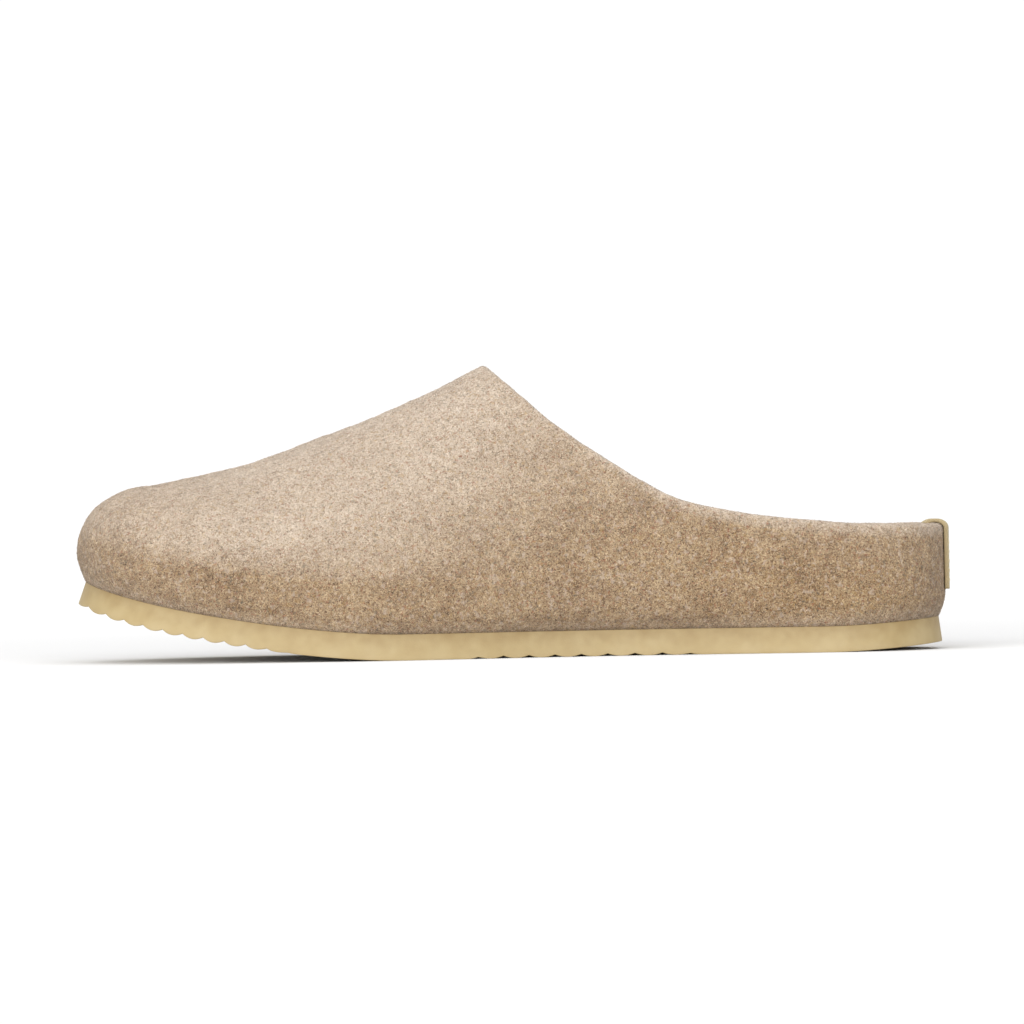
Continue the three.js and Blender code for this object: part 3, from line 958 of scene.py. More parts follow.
@dataclass(frozen=True)
class LeatherFinish:
    """Soft pale leather with a fine grain and lighter cut edges."""

    name: str = "tab_leather"
    face: Colour = linear(192, 175, 136)  # colour of its face
    edge: Colour = linear(170, 151, 114)  # colour of its cut edges

    def material(self) -> bpy.types.Material:
        """The leather's material."""
        material, nodes = new_material(self.name)
        at = nodes.millimetres()
        pores = nodes.add("TexVoronoi", {"feature": "DISTANCE_TO_EDGE"}, {"Vector": at, "Scale": 1.6})
        cells = pores.step(0.0, 0.12)
        clouds = nodes.noise(at, 5.0, detail=2.0, shift=3.0)
        wear_and_painted_light = nodes.tint(self.face, self.edge, (clouds - 0.3) * 0.5)
        colour = nodes.tint(wear_and_painted_light, self.edge, nodes.mark("cut").step(0.2, 0.9) * 0.85)
        grain = nodes.noise(at, 0.35, detail=1.0, shift=9.0)
        inputs = {
            "Base Color": colour,
            "Roughness": 0.62 + (1.0 - cells) * 0.15,
            "Specular IOR Level": 0.35,
            "Normal": nodes.bump(cells + grain * 0.6, 0.08),
        }
        nodes.surface(inputs)
        return material


@dataclass(frozen=True)
class ThreadFinish:
    """Waxed sewing thread."""

    name: str = "tab_thread"
    colour: Colour = linear(206, 192, 160)

    def material(self) -> bpy.types.Material:
        """The thread's material."""
        material, nodes = new_material(self.name)
        twist = nodes.noise(nodes.millimetres(), 0.25, detail=1.0, shift=37.0)
        inputs = {"Base Color": self.colour, "Roughness": 0.7, "Normal": nodes.bump(twist, 0.06)}
        nodes.surface(inputs)
        return material


def finish_piece(piece: bpy.types.Object, material: bpy.types.Material, slot: str, *stands_for: str) -> None:
    """Gives a piece its material and body, and hides the solids that it stands for.

    Args:
        piece: The piece.
        material: Its material.
        slot: Not used.
        *stands_for: The solids that it replaces.
    """
    piece.data.materials.append(material)
    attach(piece, BODY)
    if stands_for:
        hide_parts(*stands_for)
    log.info("%s: %d faces", piece.name, len(piece.data.polygons))


@dataclass
class Part:
    """A part that is shaped on the last."""

    last: Last
    place: Place  # where the shoe stands


@dataclass
class FeltUpper(Part):
    """The felted wool upper: an outer and an inner face, a rounded collar and an edge on the sole."""

    vamp_steps: int = 130  # stations from the toe to the throat
    quarter_steps: int = 140  # stations from the throat to the heel
    wall_steps: int = 64  # rows up the outer face
    lining_steps: int = 30  # rows up the inner face
    tuck_steps: int = 7  # rows under the widest line
    upright_steps: int = 5  # rows from the widest line to the shoulder
    rim_steps: int = 10  # rows over the collar
    # How far under the collar's edge its painted highlight, for the light that its rounded rim catches,
    # begins to fade, and has faded
    collar_band: tuple[float, float] = (0.6, 4.5)
    foot_band: float = 6.0  # height of the band along the sole that painted light makes paler, against the shade of the felt's tuck
    # Shares of the length between which the front's painted light fades, leaving the quarters darker
    front_band: tuple[float, float] = (0.6, 0.9)
    toe_band: float = 0.25  # share of the length over which the toe's top gets less painted highlight
    toe_loss: float = 0.35  # how much less painted highlight it gets
    # Upward parts of a normal from which the felt begins to get its painted highlight, for light from above,
    # and has it wholly
    looking_up: tuple[float, float] = (-0.05, 0.6)
    # Shares of painted light at the collar's rim, at the foot and in front
    collar_paleness: float = 0.75
    foot_paleness: float = 0.4
    front_paleness: float = 0.16
    # Heights over the sole from which the felt begins to swell, and swells wholly
    still_foot: tuple[float, float] = (0.5, 7.0)
    still_heel: tuple[float, float] = (10.0, 22.0)  # the same, from the middle of the heel's back
    lining_give: float = 0.35  # share of the swells that the inner face has
    lining_cover: float = 0.25  # how thickly nap covers the inner face, where the outer has 1
    rim_give: float = 0.6  # share of the swells that the rim has
    # The felt's soft unevenness, as hand felting leaves it, and its creases
    swells: tuple[Unevenness | Crease, ...] = (
        Unevenness(38.0, 0.16, 5),
        Unevenness(15.0, 0.1, 6),
        Unevenness(5.5, 0.06, 7),
        *CREASES,
    )

    def stations(self) -> Array:
        """Stations down the first axis: 0 at the toe, 1 at the throat and 2 at the heel."""
        vamp = evenly(self.vamp_steps)
        return np.concatenate([vamp, evenly(self.quarter_steps, 1, 2)[1:]])[:, None]

    def face(self, side: Side, out: float, rows: int) -> Array:
        """One side of a face, from the sole up to the ridge or the collar's edge.

        Args:
            side: The side of the shoe.
            out: How far outside the felt's face it lies.
            rows: How many rows its wall has.

        Returns:
            Points, stations by rows.
        """
        tucks = evenly(self.tuck_steps)[None, :]
        levels = evenly(rows)[None, :]
        low = self.last.tucked(self.stations(), side, tucks, out)
        high = self.last.walls(self.stations(), side, levels, out)
        upright = evenly(self.upright_steps)[None, 1:-1, None]
        return np.concatenate([low, mix(low[:, -1:], high[:, :1], upright), high], axis=1)

    def collar_loop(self, faces: dict[Side, Array]) -> Array:
        """The top edge of a face, from the throat on the inner side round the back to that on the outer."""
        inner, outer = (faces[side][self.vamp_steps :, -1] for side in (Side.INNER, Side.OUTER))
        return np.concatenate([inner, outer[-2::-1]])

    def rim(self, outside: Array, inside: Array) -> Array:
        """The collar's rim: half an ellipse from the outer edge to the inner, square to its run and the wall.

        Args:
            outside: The loop of the outer edge.
            inside: The loop of the inner edge.

        Returns:
            Points, round the collar by across the rim.
        """
        run = np.roll(outside[:-1], -1, axis=0) - np.roll(outside[:-1], 1, axis=0)
        run = np.concatenate([run, run[:1]])
        through = inside - outside
        away = unit(np.cross(run, through))
        away = np.where(away[:, 2:] < 0, -away, away)
        angle = evenly(self.rim_steps, 0, math.pi)[None, :, None]
        middle = ((outside + inside) / 2)[:, None]
        return middle - 0.5 * through[:, None] * np.cos(angle) + self.last.lip * away[:, None] * np.sin(angle)

    def skin(self) -> Skin:
        """The whole upper as one closed skin, with its unevenness worked in.

        Returns:
            The skin, with each point's share of painted light and how thickly it is covered in nap as
            attributes.
        """
        shell = Shell()
        outside = {side: self.face(side, 0.0, self.wall_steps) for side in Side}
        inside = {side: self.face(side, -self.last.wall, self.lining_steps) for side in Side}
        give, cover = self.lining_give, self.lining_cover
        for side, left, right in ((Side.INNER, 0.0, 0.5), (Side.OUTER, 0.5, 1.0)):
            turned = side is Side.OUTER
            outer, inner = outside[side], inside[side]
            near = self._near_collar(outer)
            shell.sheet(outer, Tile(left, 0.4, right, 1.0), turned, collar=near, give=1.0, cover=1.0)
            near = self._near_collar(inner)
            tile = Tile(left, 0.1, right, 0.38)
            shell.sheet(inner, tile, not turned, collar=near, give=give, cover=cover)
            foot = np.stack([inner[:, 0], outer[:, 0]], axis=1)
            shell.sheet(foot, Tile(left, 0.0, right, 0.02), turned, collar=0.0, give=0.0, cover=0.0)
        rim = self.rim(self.collar_loop(outside), self.collar_loop(inside))
        # The rim gets the collar's full painted highlight
        shell.sheet(rim, Tile(0.0, 0.04, 1.0, 0.08), collar=1.0, give=self.rim_give, cover=1.0)
        skin = shell.skin()
        # Painted light: paler where the felt looks up, at the collar's rim, at the foot and in front
        skin.marks["painted_light"] = self._paleness(skin)
        skin.swell(self._height(skin))
        return skin

    def _paleness(self, skin: Skin) -> Array:
        """How much painted light each point has.

        Args:
            skin: The upper's skin.

        Returns:
            1 where the felt looks up, and less than that at the collar, the foot and in front: all of it
            painted light.
        """
        x, _, z = skin.points.T
        share = x / self.last.length
        # Painted light at the foot, against the shade of the felt's tuck
        foot = 1 - soft_step(0.0, self.foot_band, self.last.over_seat(x, z))
        # Painted light in front, fading towards the darker quarters
        front = 1 - soft_step(*self.front_band, share)
        toe = 1 - soft_step(0.0, self.toe_band, share)
        # Painted highlight where the felt looks up, less of it on the toe's top
        looks_up = soft_step(*self.looking_up, skin.normals()[:, 2]) * (1 - self.toe_loss * toe)
        # Painted light at the foot and in front, then the collar's painted highlight
        wear_and_painted_light = np.maximum(self.foot_paleness * foot, self.front_paleness * front)
        wear_and_painted_light = np.maximum(self.collar_paleness * skin.marks.pop("collar"), wear_and_painted_light)
        return np.maximum(looks_up, wear_and_painted_light)

    def _near_collar(self, grid: Array) -> Array:
        """The share of the collar's painted highlight: 1 at a face's collar edge, falling to 0 a few
        millimetres under it, and 0 all over the vamp.
        """
        near = 1 - soft_step(*self.collar_band, np.linalg.norm(grid - grid[:, -1:], axis=-1))
        return np.where(self.stations() >= 1, near, 0.0)

    def _height(self, skin: Skin) -> Array:
        """How far each point swells out, held back at the sole and under the pull tab."""
        x, y, z = skin.points.T
        above_sole = soft_step(*self.still_foot, self.last.over_seat(x, z))
        by_tab = soft_step(*self.still_heel, np.hypot(x - self.last.length, y))
        height = sum(swell.at(skin.points) for swell in self.swells)
        return height * skin.marks.pop("give") * above_sole * by_tab

    def build(self, finish: WoolFinish) -> Skin:
        """Makes the upper.

        Args:
            finish: The wool's finish.

        Returns:
            Its skin, for the nap to grow on.
        """
        skin = self.skin()
        finish_piece(skin.piece("felt_upper", self.place), finish.felt(), "felt", "upper")
        return skin


@dataclass
class Nap:
    """The felt's nap: short curled fibres that lie over its face, each a narrow ribbon."""

    place: Place  # where the shoe stands
    batches: int = 3  # how many pieces the fibres are split into
    count: int = 48000
    length: tuple[float, float] = (0.7, 2.0)  # shortest and longest fibre
    width: tuple[float, float] = (0.07, 0.13)  # narrowest and widest fibre
    lift: tuple[float, float] = (0.02, 0.24)  # lowest and highest that a fibre's middle stands over the felt
    turn: float = 3.0  # most that a fibre curls, in radians
    bend_radius: float = 22.0  # radius of the felt that the fibres hug
    lean: float = 0.5  # most that a fibre's face leans
    taper: float = 0.6  # share of its width that a fibre has lost at its ends
    tone: tuple[float, float] = (0.58, 0.28)  # mean and spread of the fibres' tone
    tone_ends: tuple[float, float] = (0.02, 0.98)
    margin: float = 0.2  # share of a fibre's cell of the bake map left free at each side
    steps: int = 2  # steps along a fibre
    seed: int = 11

    def _roots(self, skin: Skin, rng: np.random.Generator) -> tuple[Array, Array, Array]:
        """Draws places by area over the felt, as thickly as its cover says.

        Args:
            skin: The felt's skin.
            rng: The draw.

        Returns:
            The places, the felt's normals there and the felt's share of painted light there.
        """
        corners = skin.points[skin.faces]
        area = np.linalg.norm(np.cross(corners[:, 1] - corners[:, 0], corners[:, 2] - corners[:, 0]), axis=-1)
        weight = area * skin.marks["cover"][skin.faces].mean(axis=1)
        chosen = rng.choice(len(weight), self.count, p=weight / weight.sum())
        first, second = np.sort(rng.random((2, self.count)), axis=0)
        share = np.stack([first, second - first, 1 - second], axis=-1)[:, :, None]
        normals = skin.normals()[skin.faces[chosen]]
        # The felt's painted light, carried on to the fibres
        painted_light = skin.marks["painted_light"][skin.faces[chosen]].mean(axis=1)
        return (corners[chosen] * share).sum(axis=1), unit((normals * share).sum(axis=1)), painted_light

    def _drawn(self, rng: np.random.Generator, low: float, high: float) -> Array:
        """A random value for each fibre, evenly between two ends."""
        return rng.uniform(low, high, (self.count, 1))

    def _ribbons(self, skin: Skin, rng: np.random.Generator) -> tuple[Array, dict[str, Array]]:
        """Works out the fibres: arcs in the felt's tangent plane, raised in the middle, with a little width.

        Args:
            skin: The felt's skin.
            rng: The draw.

        Returns:
            Points, fibres by steps by two edges, and each fibre's tone and share of painted light.
        """
        roots, normals, painted_light = self._roots(skin, rng)
        helper = unit(rng.normal(size=(self.count, 3)))
        ahead = unit(np.cross(normals, helper))
        aside = np.cross(normals, ahead)
        t = evenly(self.steps, -0.5, 0.5)[None, :]
        length, turn = self._drawn(rng, *self.length), self._drawn(rng, -self.turn, self.turn)
        angle = turn * t
        run = length * np.sin(angle) / turn
        swing = length * (1 - np.cos(angle)) / turn
        reach = run**2 + swing**2
        height = self._drawn(rng, *self.lift) * np.cos(math.pi * t) - reach / (2 * self.bend_radius)
        line = (
            roots[:, None]
            + ahead[:, None] * run[..., None]
            + aside[:, None] * swing[..., None]
            + normals[:, None] * height[..., None]
        )
        way = ahead[:, None] * np.cos(angle)[..., None] + aside[:, None] * np.sin(angle)[..., None]
        across = np.cross(np.broadcast_to(normals[:, None], way.shape), way)
        tilt = self._drawn(rng, -self.lean, self.lean)[..., None] * normals[:, None]
        half = 0.5 * self._drawn(rng, *self.width)[..., None] * (1 - self.taper * np.abs(2 * t))[..., None]
        edge = unit(across + tilt) * half
        tone = np.clip(rng.normal(*self.tone, self.count), *self.tone_ends)
        return np.stack([line - edge, line + edge], axis=2), {"tone": tone, "painted_light": painted_light}

    def _batch(self, skin: Skin, number: int, material: bpy.types.Material) -> None:
        """Makes one piece of fibres, each fibre with its own cell of the bake map.

        Args:
            skin: The felt's skin.
            number: The piece's number, from 0.
            material: The fibres' material.
        """
        points, marks = self._ribbons(skin, np.random.default_rng(self.seed + number))
        rows = self.steps + 1
        index = np.arange(self.count * rows * 2).reshape(self.count, rows, 2)
        a, b, c, d = index[:, :-1, 0], index[:, 1:, 0], index[:, 1:, 1], index[:, :-1, 1]
        faces = np.stack([np.stack([a, b, c], -1), np.stack([a, c, d], -1)], axis=2).reshape(-1, 3)
        cells = math.ceil(math.sqrt(self.count))
        cell = np.arange(self.count)[:, None, None]
        column, row = cell % cells, cell // cells
        along = evenly(self.steps, self.margin, 1 - self.margin)[None, :, None]
        u = (column + along + 0 * index) / cells
        v = (row + np.array([self.margin, 1 - self.margin])[None, None, :] + 0 * index) / cells
        corner_map = np.stack([u, v], axis=-1).reshape(-1, 2)[faces]
        marks = {mark: np.repeat(values, rows * 2) for mark, values in marks.items()}
        name = f"felt_nap_{number + 1}"
        piece = surface_object(name, self.place.carry(points.reshape(-1, 3)), faces, corner_map, marks)
        finish_piece(piece, material, "felt")

    def build(self, skin: Skin, finish: WoolFinish) -> None:
        """Grows the nap on the felt.

        Args:
            skin: The felt's skin.
            finish: The wool's finish.
        """
        material = finish.strands("felt_nap")
        for number in range(self.batches):
            self._batch(skin, number, material)


@dataclass
class FeltInsole(Part):
    """The contoured insole: its rim follows the felt's inner face and its top is dished."""

    thickness: float = 4.5  # thickness in the middle
    edge: float = 6.0  # height of the raised rim
    steps: int = 90  # stations from end to end, in two runs
    columns: int = 44
    rows: int = 4  # rows up the rim
    dish_power: float = 3.0  # how square the dish is
    # Upward parts of a normal from which it begins to get its painted highlight, and has it wholly
    looking_up: tuple[float, float] = (-0.05, 0.5)
    unevenness: Unevenness = Unevenness(18.0, 0.12, 21)  # the surface's soft unevenness

    def skin(self) -> Skin:
        """The insole as one closed skin.

        Returns:
            The skin.
        """
        shell = Shell()
        out = -(self.last.wall + self.last.gap)
        stations = evenly(2 * self.steps, 0, 2)[:, None]
        levels = evenly(self.rows, 0, self.edge / self.last.widest_rise)[None, :]
        walls = {side: self.last.tucked(stations, side, levels, out) for side in Side}
        tiles = {Side.INNER: Tile(0.0, 0.0, 0.5, 0.05), Side.OUTER: Tile(0.5, 0.0, 1.0, 0.05)}
        for side in Side:
            shell.sheet(walls[side], tiles[side], side is Side.OUTER)
        shares = evenly(self.columns)[None, :, None]
        top = mix(walls[Side.INNER][:, -1:], walls[Side.OUTER][:, -1:], shares)
        rim = Outline(out=out, tuck=float((1 - levels[0, -1]) ** 2))
        top[..., 2] -= self._dish(top[..., 0], 2 * shares[..., 0] - 1, rim)
        shell.sheet(top, Tile(0.0, 0.1, 1.0, 1.0))
        under = mix(walls[Side.INNER][:, :1], walls[Side.OUTER][:, :1], np.array([0.0, 1.0])[None, :, None])
        shell.sheet(under, Tile(0.0, 0.06, 1.0, 0.09), turned=True)
        skin = shell.skin()
        # Painted highlight where the insole looks up
        skin.marks["painted_light"] = soft_step(*self.looking_up, skin.normals()[:, 2])
        return skin

    def _dish(self, x: Array, across: Array, rim: Outline) -> Array:
        """How far the top lies under the rim: nothing at the edge and flat away from it, by a power curve."""
        front, back = self.last.ends(rim)
        toe = round_end(x - front, self.last.toe_round_inner, self.dish_power)
        heel = round_end(back - x, self.last.heel_round, self.dish_power)
        inside = 1 - np.abs(across) ** self.dish_power
        spots = np.stack(np.broadcast_arrays(x, across * self.last.ball_width / 2, 0.0), axis=-1)
        rough = 1 + self.unevenness.at(spots)
        return (self.edge - self.thickness) * inside * toe * heel * rough

    def build(self, finish: WoolFinish) -> None:
        """Makes the insole."""
        finish_piece(self.skin().piece("wool_insole", self.place), finish.felt(), "lining", "insole")


@dataclass
class RubberSole(Part):
    """The sole: even in thickness, sprung at the toe and heel, with flared sides and a ribbed foot."""

    rib_pitch: float = 6.1  # pitch of the ribs at the toe
    rib_growth: float = 0.0155  # how much the pitch grows with each millimetre
    rib_depth: float = 1.1
    first_rib: float = 4.1  # from the toe of the sole to its first groove
    rib_steps: int = 12  # places along a rib
    tip_steps: int = 16  # places ahead of the first groove
    heel_steps: int = 60  # places round the heel
    foot_round: float = 0.2  # radius of the edge round the foot
    top_round: float = 0.15  # radius of the edge next to the felt
    round_steps: int = 4  # steps round each of those edges
    sipe_depth: float = 0.3  # depth of the fine grooves across the plain pads
    sipe_pitch: float = 3.0  # pitch of those grooves
    sipe_sides: tuple[float, float] = (0.7, 0.9)  # shares of half a pitch between which a groove deepens
    # Shares of the half width between which the grooves run out
    sipe_ends: tuple[float, float] = (0.78, 0.84)
    plain_relief: float = 0.2  # share of the ribs' depth from which there is no such groove
    side_rows: int = 8  # rows up the side
    columns: int = 28

    def _grooves(self, front: float, back: float) -> Array:
        """Grooves across the foot, a little further apart each time."""
        grooves = [front + self.first_rib]
        while grooves[-1] < back:
            grooves.append(grooves[-1] + self.rib_pitch + self.rib_growth * (grooves[-1] - front))
        return np.array(grooves[:-1])

    def _places(self, front: float, back: float) -> Array:
        """Places along the foot: close together at its ends, and a dozen to a rib."""
        grooves = self._grooves(front, back)
        tip = front + self.first_rib * evenly(self.tip_steps) ** 2
        heel = back - self.last.heel_round * evenly(self.heel_steps, 1, 0) ** 2
        kept = grooves[grooves < heel[0]]
        shares = evenly(self.rib_steps)[None, 1:]
        ribs = mix(kept[:-1, None], kept[1:, None], shares).ravel()
        return np.concatenate([tip, ribs, heel])

    def _ribs(self, x: Array, front: float, back: float) -> Array:
        """Height of the ribs' arcs: a parabola from groove to groove, as deep as the relief table says."""
        grooves = self._grooves(front, back)
        edges = np.concatenate([[front + self.first_rib - self.rib_pitch], grooves, [back]])
        i = np.clip(np.searchsorted(edges, x), 1, len(edges) - 1)
        share = (x - edges[i - 1]) / (edges[i] - edges[i - 1])
        return self.rib_depth * RIB_RELIEF.along("depth", self.last.share_at(x)) * (2 * share - 1) ** 2

    def _sipes(self, x: Array, across: Array) -> Array:
        """Height of the fine grooves across the plain pads: narrow dips that stop short of the edge."""
        plain = 1 - soft_step(0.0, self.plain_relief, RIB_RELIEF.along("depth", self.last.share_at(x)))
        wave = np.abs(((x / self.sipe_pitch) % 1) - 0.5) * 2
        inside = 1 - soft_step(*self.sipe_ends, np.abs(across))
        return self.sipe_depth * plain * soft_step(*self.sipe_sides, wave) * inside

    def _side(self, share: Array, rib: Array, side: Side) -> Array:
        """One side wall, from its rounded foot edge to its rounded top edge.

        Args:
            share: Places along the sole as shares, down the first axis.
            rib: Height of the ribs there.
            side: The side of the shoe.

        Returns:
            Points, places by rows.
        """
        turn = evenly(self.round_steps, 0, math.pi / 2)
        low_inset, low_rise = self.foot_round * (1 - np.sin(turn)), self.foot_round * (1 - np.cos(turn))
        high_inset, high_drop = self.top_round * (1 - np.cos(turn)), self.top_round * (1 - np.sin(turn))
        base = self._upright(self._row(share, side, 1.0, low_inset), 0.0)
        top = self._upright(self._row(share, side, 0.0, high_inset), self.last.sole_thickness)
        top[..., 2] -= high_drop
        start = (rib + self.foot_round) / self.last.sole_thickness
        shares = mix(start, 1.0, evenly(self.side_rows)[None, :-1])[..., None]
        wall = mix(base[:, -1:], top[:, :1], shares)
        foot = wall[:, :1] + base[:, :-1] - base[:, -1:]
        foot[..., 2] = wall[:, :1, 2] - self.foot_round + low_rise[:-1]
        return np.concatenate([foot, wall, top], axis=1)

    def _upright(self, plan: Array, height: float) -> Array:
        """Plan points set at a height over the sole's underside."""
        z = self.last.sole_under(plan[..., :1]) + height
        return np.concatenate([plan, z], axis=-1)

    def _row(self, share: Array, side: Side, flare: float, inset: Array) -> Array:
        """Plan points of the sole's edge or foot, inset by some amounts: places by insets."""
        line = Outline(out=-inset[None, :], tuck=1.0, flare=flare)
        front, back = self.last.ends(line)
        x = mix(front, back, share)
        return np.stack([x, side.value * self.last.half_width(x, side, line)], axis=-1)

    def skin(self) -> Skin:
        """The sole as one closed skin.

        Returns:
            The skin, with how near each point is to the felt as an attribute, which places the painted shade
            under the felt's overhang.
        """
        shell = Shell()
        front, back = (float(end) for end in self.last.ends(Outline(tuck=1.0, flare=1.0)))
        x = self._places(front, back)
        share, rib = ((x - front) / (back - front))[:, None], self._ribs(x, front, back)[:, None]
        walls = {side: self._side(share, rib, side) for side in Side}
        rows = walls[Side.INNER].shape[1]
        # How near the felt, which places the painted shade under its overhang
        near = np.linspace(0, 1, rows)[None, :]
        tiles = {Side.INNER: Tile(0.0, 0.0, 1.0, 0.14), Side.OUTER: Tile(0.0, 0.16, 1.0, 0.3)}
        for side in Side:
            shell.sheet(walls[side], tiles[side], side is Side.OUTER, joint=near)
        across = evenly(self.columns)[None, :, None]
        under = mix(walls[Side.INNER][:, :1], walls[Side.OUTER][:, :1], across)
        under[..., 2] += self._sipes(under[..., 0], 2 * across[..., 0] - 1)
        top = mix(walls[Side.INNER][:, -1:], walls[Side.OUTER][:, -1:], across)
        shell.sheet(top, Tile(0.0, 0.32, 1.0, 0.64), joint=1.0)
        shell.sheet(under, Tile(0.0, 0.66, 1.0, 1.0), turned=True, joint=0.0)
        return shell.skin()

    def build(self, finish: RubberFinish) -> None:
        """Makes the sole."""
        finish_piece(self.skin().piece("rubber_sole", self.place), finish.material(), "rubber", "sole")


@dataclass
class PullTab(Part):
    """The leather pull tab, folded over the heel's rim, and its stitches."""

    width: float = 18.0
    thickness: float = 1.2
    outer_leg: float = 20.0  # length below the collar's edge, outside
    above_insole: float = 6.0  # where the inner end stops over the insole
    insole_edge: float = 6.0  # height of the insole's rim
    columns: int = 24
    leg_rows: int = 26  # rows down a leg
    fold_rows: int = 20  # rows over the fold
    edge_steps: int = 6  # steps round a cut edge
    stitch_inset: float = 2.2  # from the strap's edge to its row of stitches
    stitch_length: float = 2.2
    stitch_pitch: float = 3.1  # from one stitch to the next
    stitch_radius: float = 0.32  # half the thread's thickness
    stitch_sunk: float = 0.6  # how deep a stitch's ends lie in the leather, in thread radii
    stitch_arch: float = 0.5  # how far its middle stands over its ends, in thread radii
    stitch_steps: int = 8  # steps along a stitch, and round its thread

    def _line(self, y: Array, out: Array) -> Array:
        """The strap's run at given distances from the middle line: up outside, over the rim, and down inside.

        Args:
            y: Distances from the middle line.
            out: How far outside the felt's clearance the surface lies, for each y.

        Returns:
            Points, distances by rows along the strap.
        """
        last = self.last
        heel = last.heel_height
        y, out = y[:, None], out[:, None]
        rise = evenly(self.leg_rows, heel - self.outer_leg, heel)[None, :] + 0 * y
        fall = np.linspace(heel, self._inner_end(), self.leg_rows + 1)[None, :] + 0 * y
        up_x = last.heel_x(y, rise, last.gap + out)
        down_x = last.heel_x(y, fall, -(last.wall + last.gap + out))
        angle = evenly(self.fold_rows, 0, math.pi)[None, 1:-1]
        middle, half = (up_x[:, -1:] + down_x[:, :1]) / 2, (up_x[:, -1:] - down_x[:, :1]) / 2
        over_x = middle + half * np.cos(angle)
        over_z = heel + (last.lip + last.gap + out) * np.sin(angle)
        x = np.concatenate([up_x, over_x, down_x], axis=1)
        z = np.concatenate([rise, over_z, fall], axis=1)
        return np.stack([x, y + 0 * x, z], axis=-1)

    def _inner_end(self) -> float:
        """Height at which the strap's inner leg ends."""
        seat = float(self.last.sole_top(np.array(self.last.length))) + self.last.gap
        return seat + self.insole_edge + self.above_insole

    def _section(self) -> tuple[Array, Array, Array]:
        """The strap's cross section, once round: places across, how far out, and how much is cut edge."""
        turn = evenly(self.edge_steps, -math.pi / 2, math.pi / 2)[1:-1]
        half, bulge = self.thickness / 2, self.thickness / 3
        inset = self.width / 2 - bulge
        face = evenly(self.columns, -inset, inset)
        edge, climb = inset + bulge * np.cos(turn), half * np.sin(turn)
        y = np.concatenate([face, edge, face[::-1], -edge])
        out = np.concatenate([0 * face, half + climb, 0 * face + self.thickness, half - climb])
        cut = np.concatenate([0 * face, 0 * turn + 1, 0 * face, 0 * turn + 1])
        return y, out, cut

    def skin(self) -> Skin:
        """The strap as one closed skin.

        Returns:
            The skin, with its cut edges as an attribute.
        """
        y, out, cut = self._section()
        y, out, cut = (np.append(values, values[0]) for values in (y, out, cut))
        grid = self._line(y, out)
        shell = Shell()
        shell.sheet(grid, Tile(0.0, 0.0, 1.0, 0.9), turned=True, cut=cut[:, None])
        for row, left, turned in ((0, 0.0, False), (-1, 0.5, True)):
            middle = np.broadcast_to(grid[:-1, row].mean(axis=0), grid[:, row].shape)
            cap = np.stack([grid[:, row], middle], axis=1)
            shell.sheet(cap, Tile(left, 0.92, left + 0.4, 0.98), turned, cut=1.0)
        return shell.skin()

    def stitches(self) -> Skin:
        """Two rows of stitches down each leg of the strap.

        Returns:
            The stitches as one skin of closed threads.
        """
        shell = Shell()
        row_y = self.width / 2 - self.stitch_inset
        for y, left in ((-row_y, 0.0), (row_y, 0.5)):
            run = self._line(np.array([y]), np.array([self.thickness]))[0]
            walked = np.append(0.0, np.cumsum(np.linalg.norm(np.diff(run, axis=0), axis=1)))
            starts = self._stitch_starts(walked)
            for number, start in enumerate(starts):
                bottom = number / len(starts)
                tile = Tile(left, bottom, left + 0.45, bottom + 0.8 / len(starts))
                shell.sheet(self._stitch(run, walked, start), tile, turned=True)
        return shell.skin()

    def _stitch_starts(self, walked: Array) -> Array:
        """Where stitches start along the strap's run: on both legs, clear of the ends and the fold."""
        outer_end, inner_start = walked[self.leg_rows], walked[-self.leg_rows - 1]
        clear = self.stitch_pitch - self.stitch_length
        outer = np.arange(2 * clear, outer_end - self.stitch_pitch, self.stitch_pitch)
        inner = np.arange(inner_start + clear, walked[-1] - self.stitch_pitch, self.stitch_pitch)
        return np.concatenate([outer, inner])

    def _stitch(self, run: Array, walked: Array, start: float) -> Array:
        """One stitch: a thread, round across and pointed at its ends, that stands highest in its middle.

        Args:
            run: Points along the strap's face.
            walked: How far along the run each of them lies.
            start: Where the stitch starts.

        Returns:
            Points, steps along the thread by steps round it.
        """
        t = evenly(self.stitch_steps)
        line = np.stack([np.interp(start + t * self.stitch_length, walked, axis) for axis in run.T], axis=-1)
        along = unit(np.gradient(line, axis=0))
        aside = np.broadcast_to([0.0, 1.0, 0.0], along.shape)
        away = np.cross(aside, along)
        lift = self.stitch_arch * np.sin(math.pi * t) - self.stitch_sunk
        line = line + away * (self.stitch_radius * lift)[:, None]
        radius = (self.stitch_radius * np.sqrt(1 - (2 * t - 1) ** 4))[:, None, None]
        angle = evenly(self.stitch_steps, 0, 2 * math.pi)[None, :, None]
        ring = line[:, None] + radius * (aside[:, None] * np.cos(angle) + away[:, None] * np.sin(angle))
        ring[:, -1] = ring[:, 0]
        return ring

    def build(self, finish: LeatherFinish, thread: ThreadFinish) -> None:
        """Makes the strap and its stitches."""
        finish_piece(self.skin().piece("leather_tab", self.place), finish.material(), "leather", "pull_tab")
        finish_piece(self.stitches().piece("tab_stitches", self.place), thread.material(), "leather")


@dataclass(frozen=True)
class Softbox:
    """A flat studio light that faces the shoe."""

    name: str
    place: Point  # where it stands, in metres
    width: float  # its width in metres
    height: float  # its height in metres
    power: float  # its power in watts

    def build(self, target: Vector) -> None:
        """Makes the light and turns it to a target."""
        data = bpy.data.lights.new(self.name, "AREA")
        data.shape = "RECTANGLE"
        data.size = self.width
        data.size_y = self.height
        data.energy = self.power
        light = linked(self.name, data)
        light.location = self.place
        light.rotation_euler = (target - Vector(self.place)).to_track_quat("-Z", "Y").to_euler()


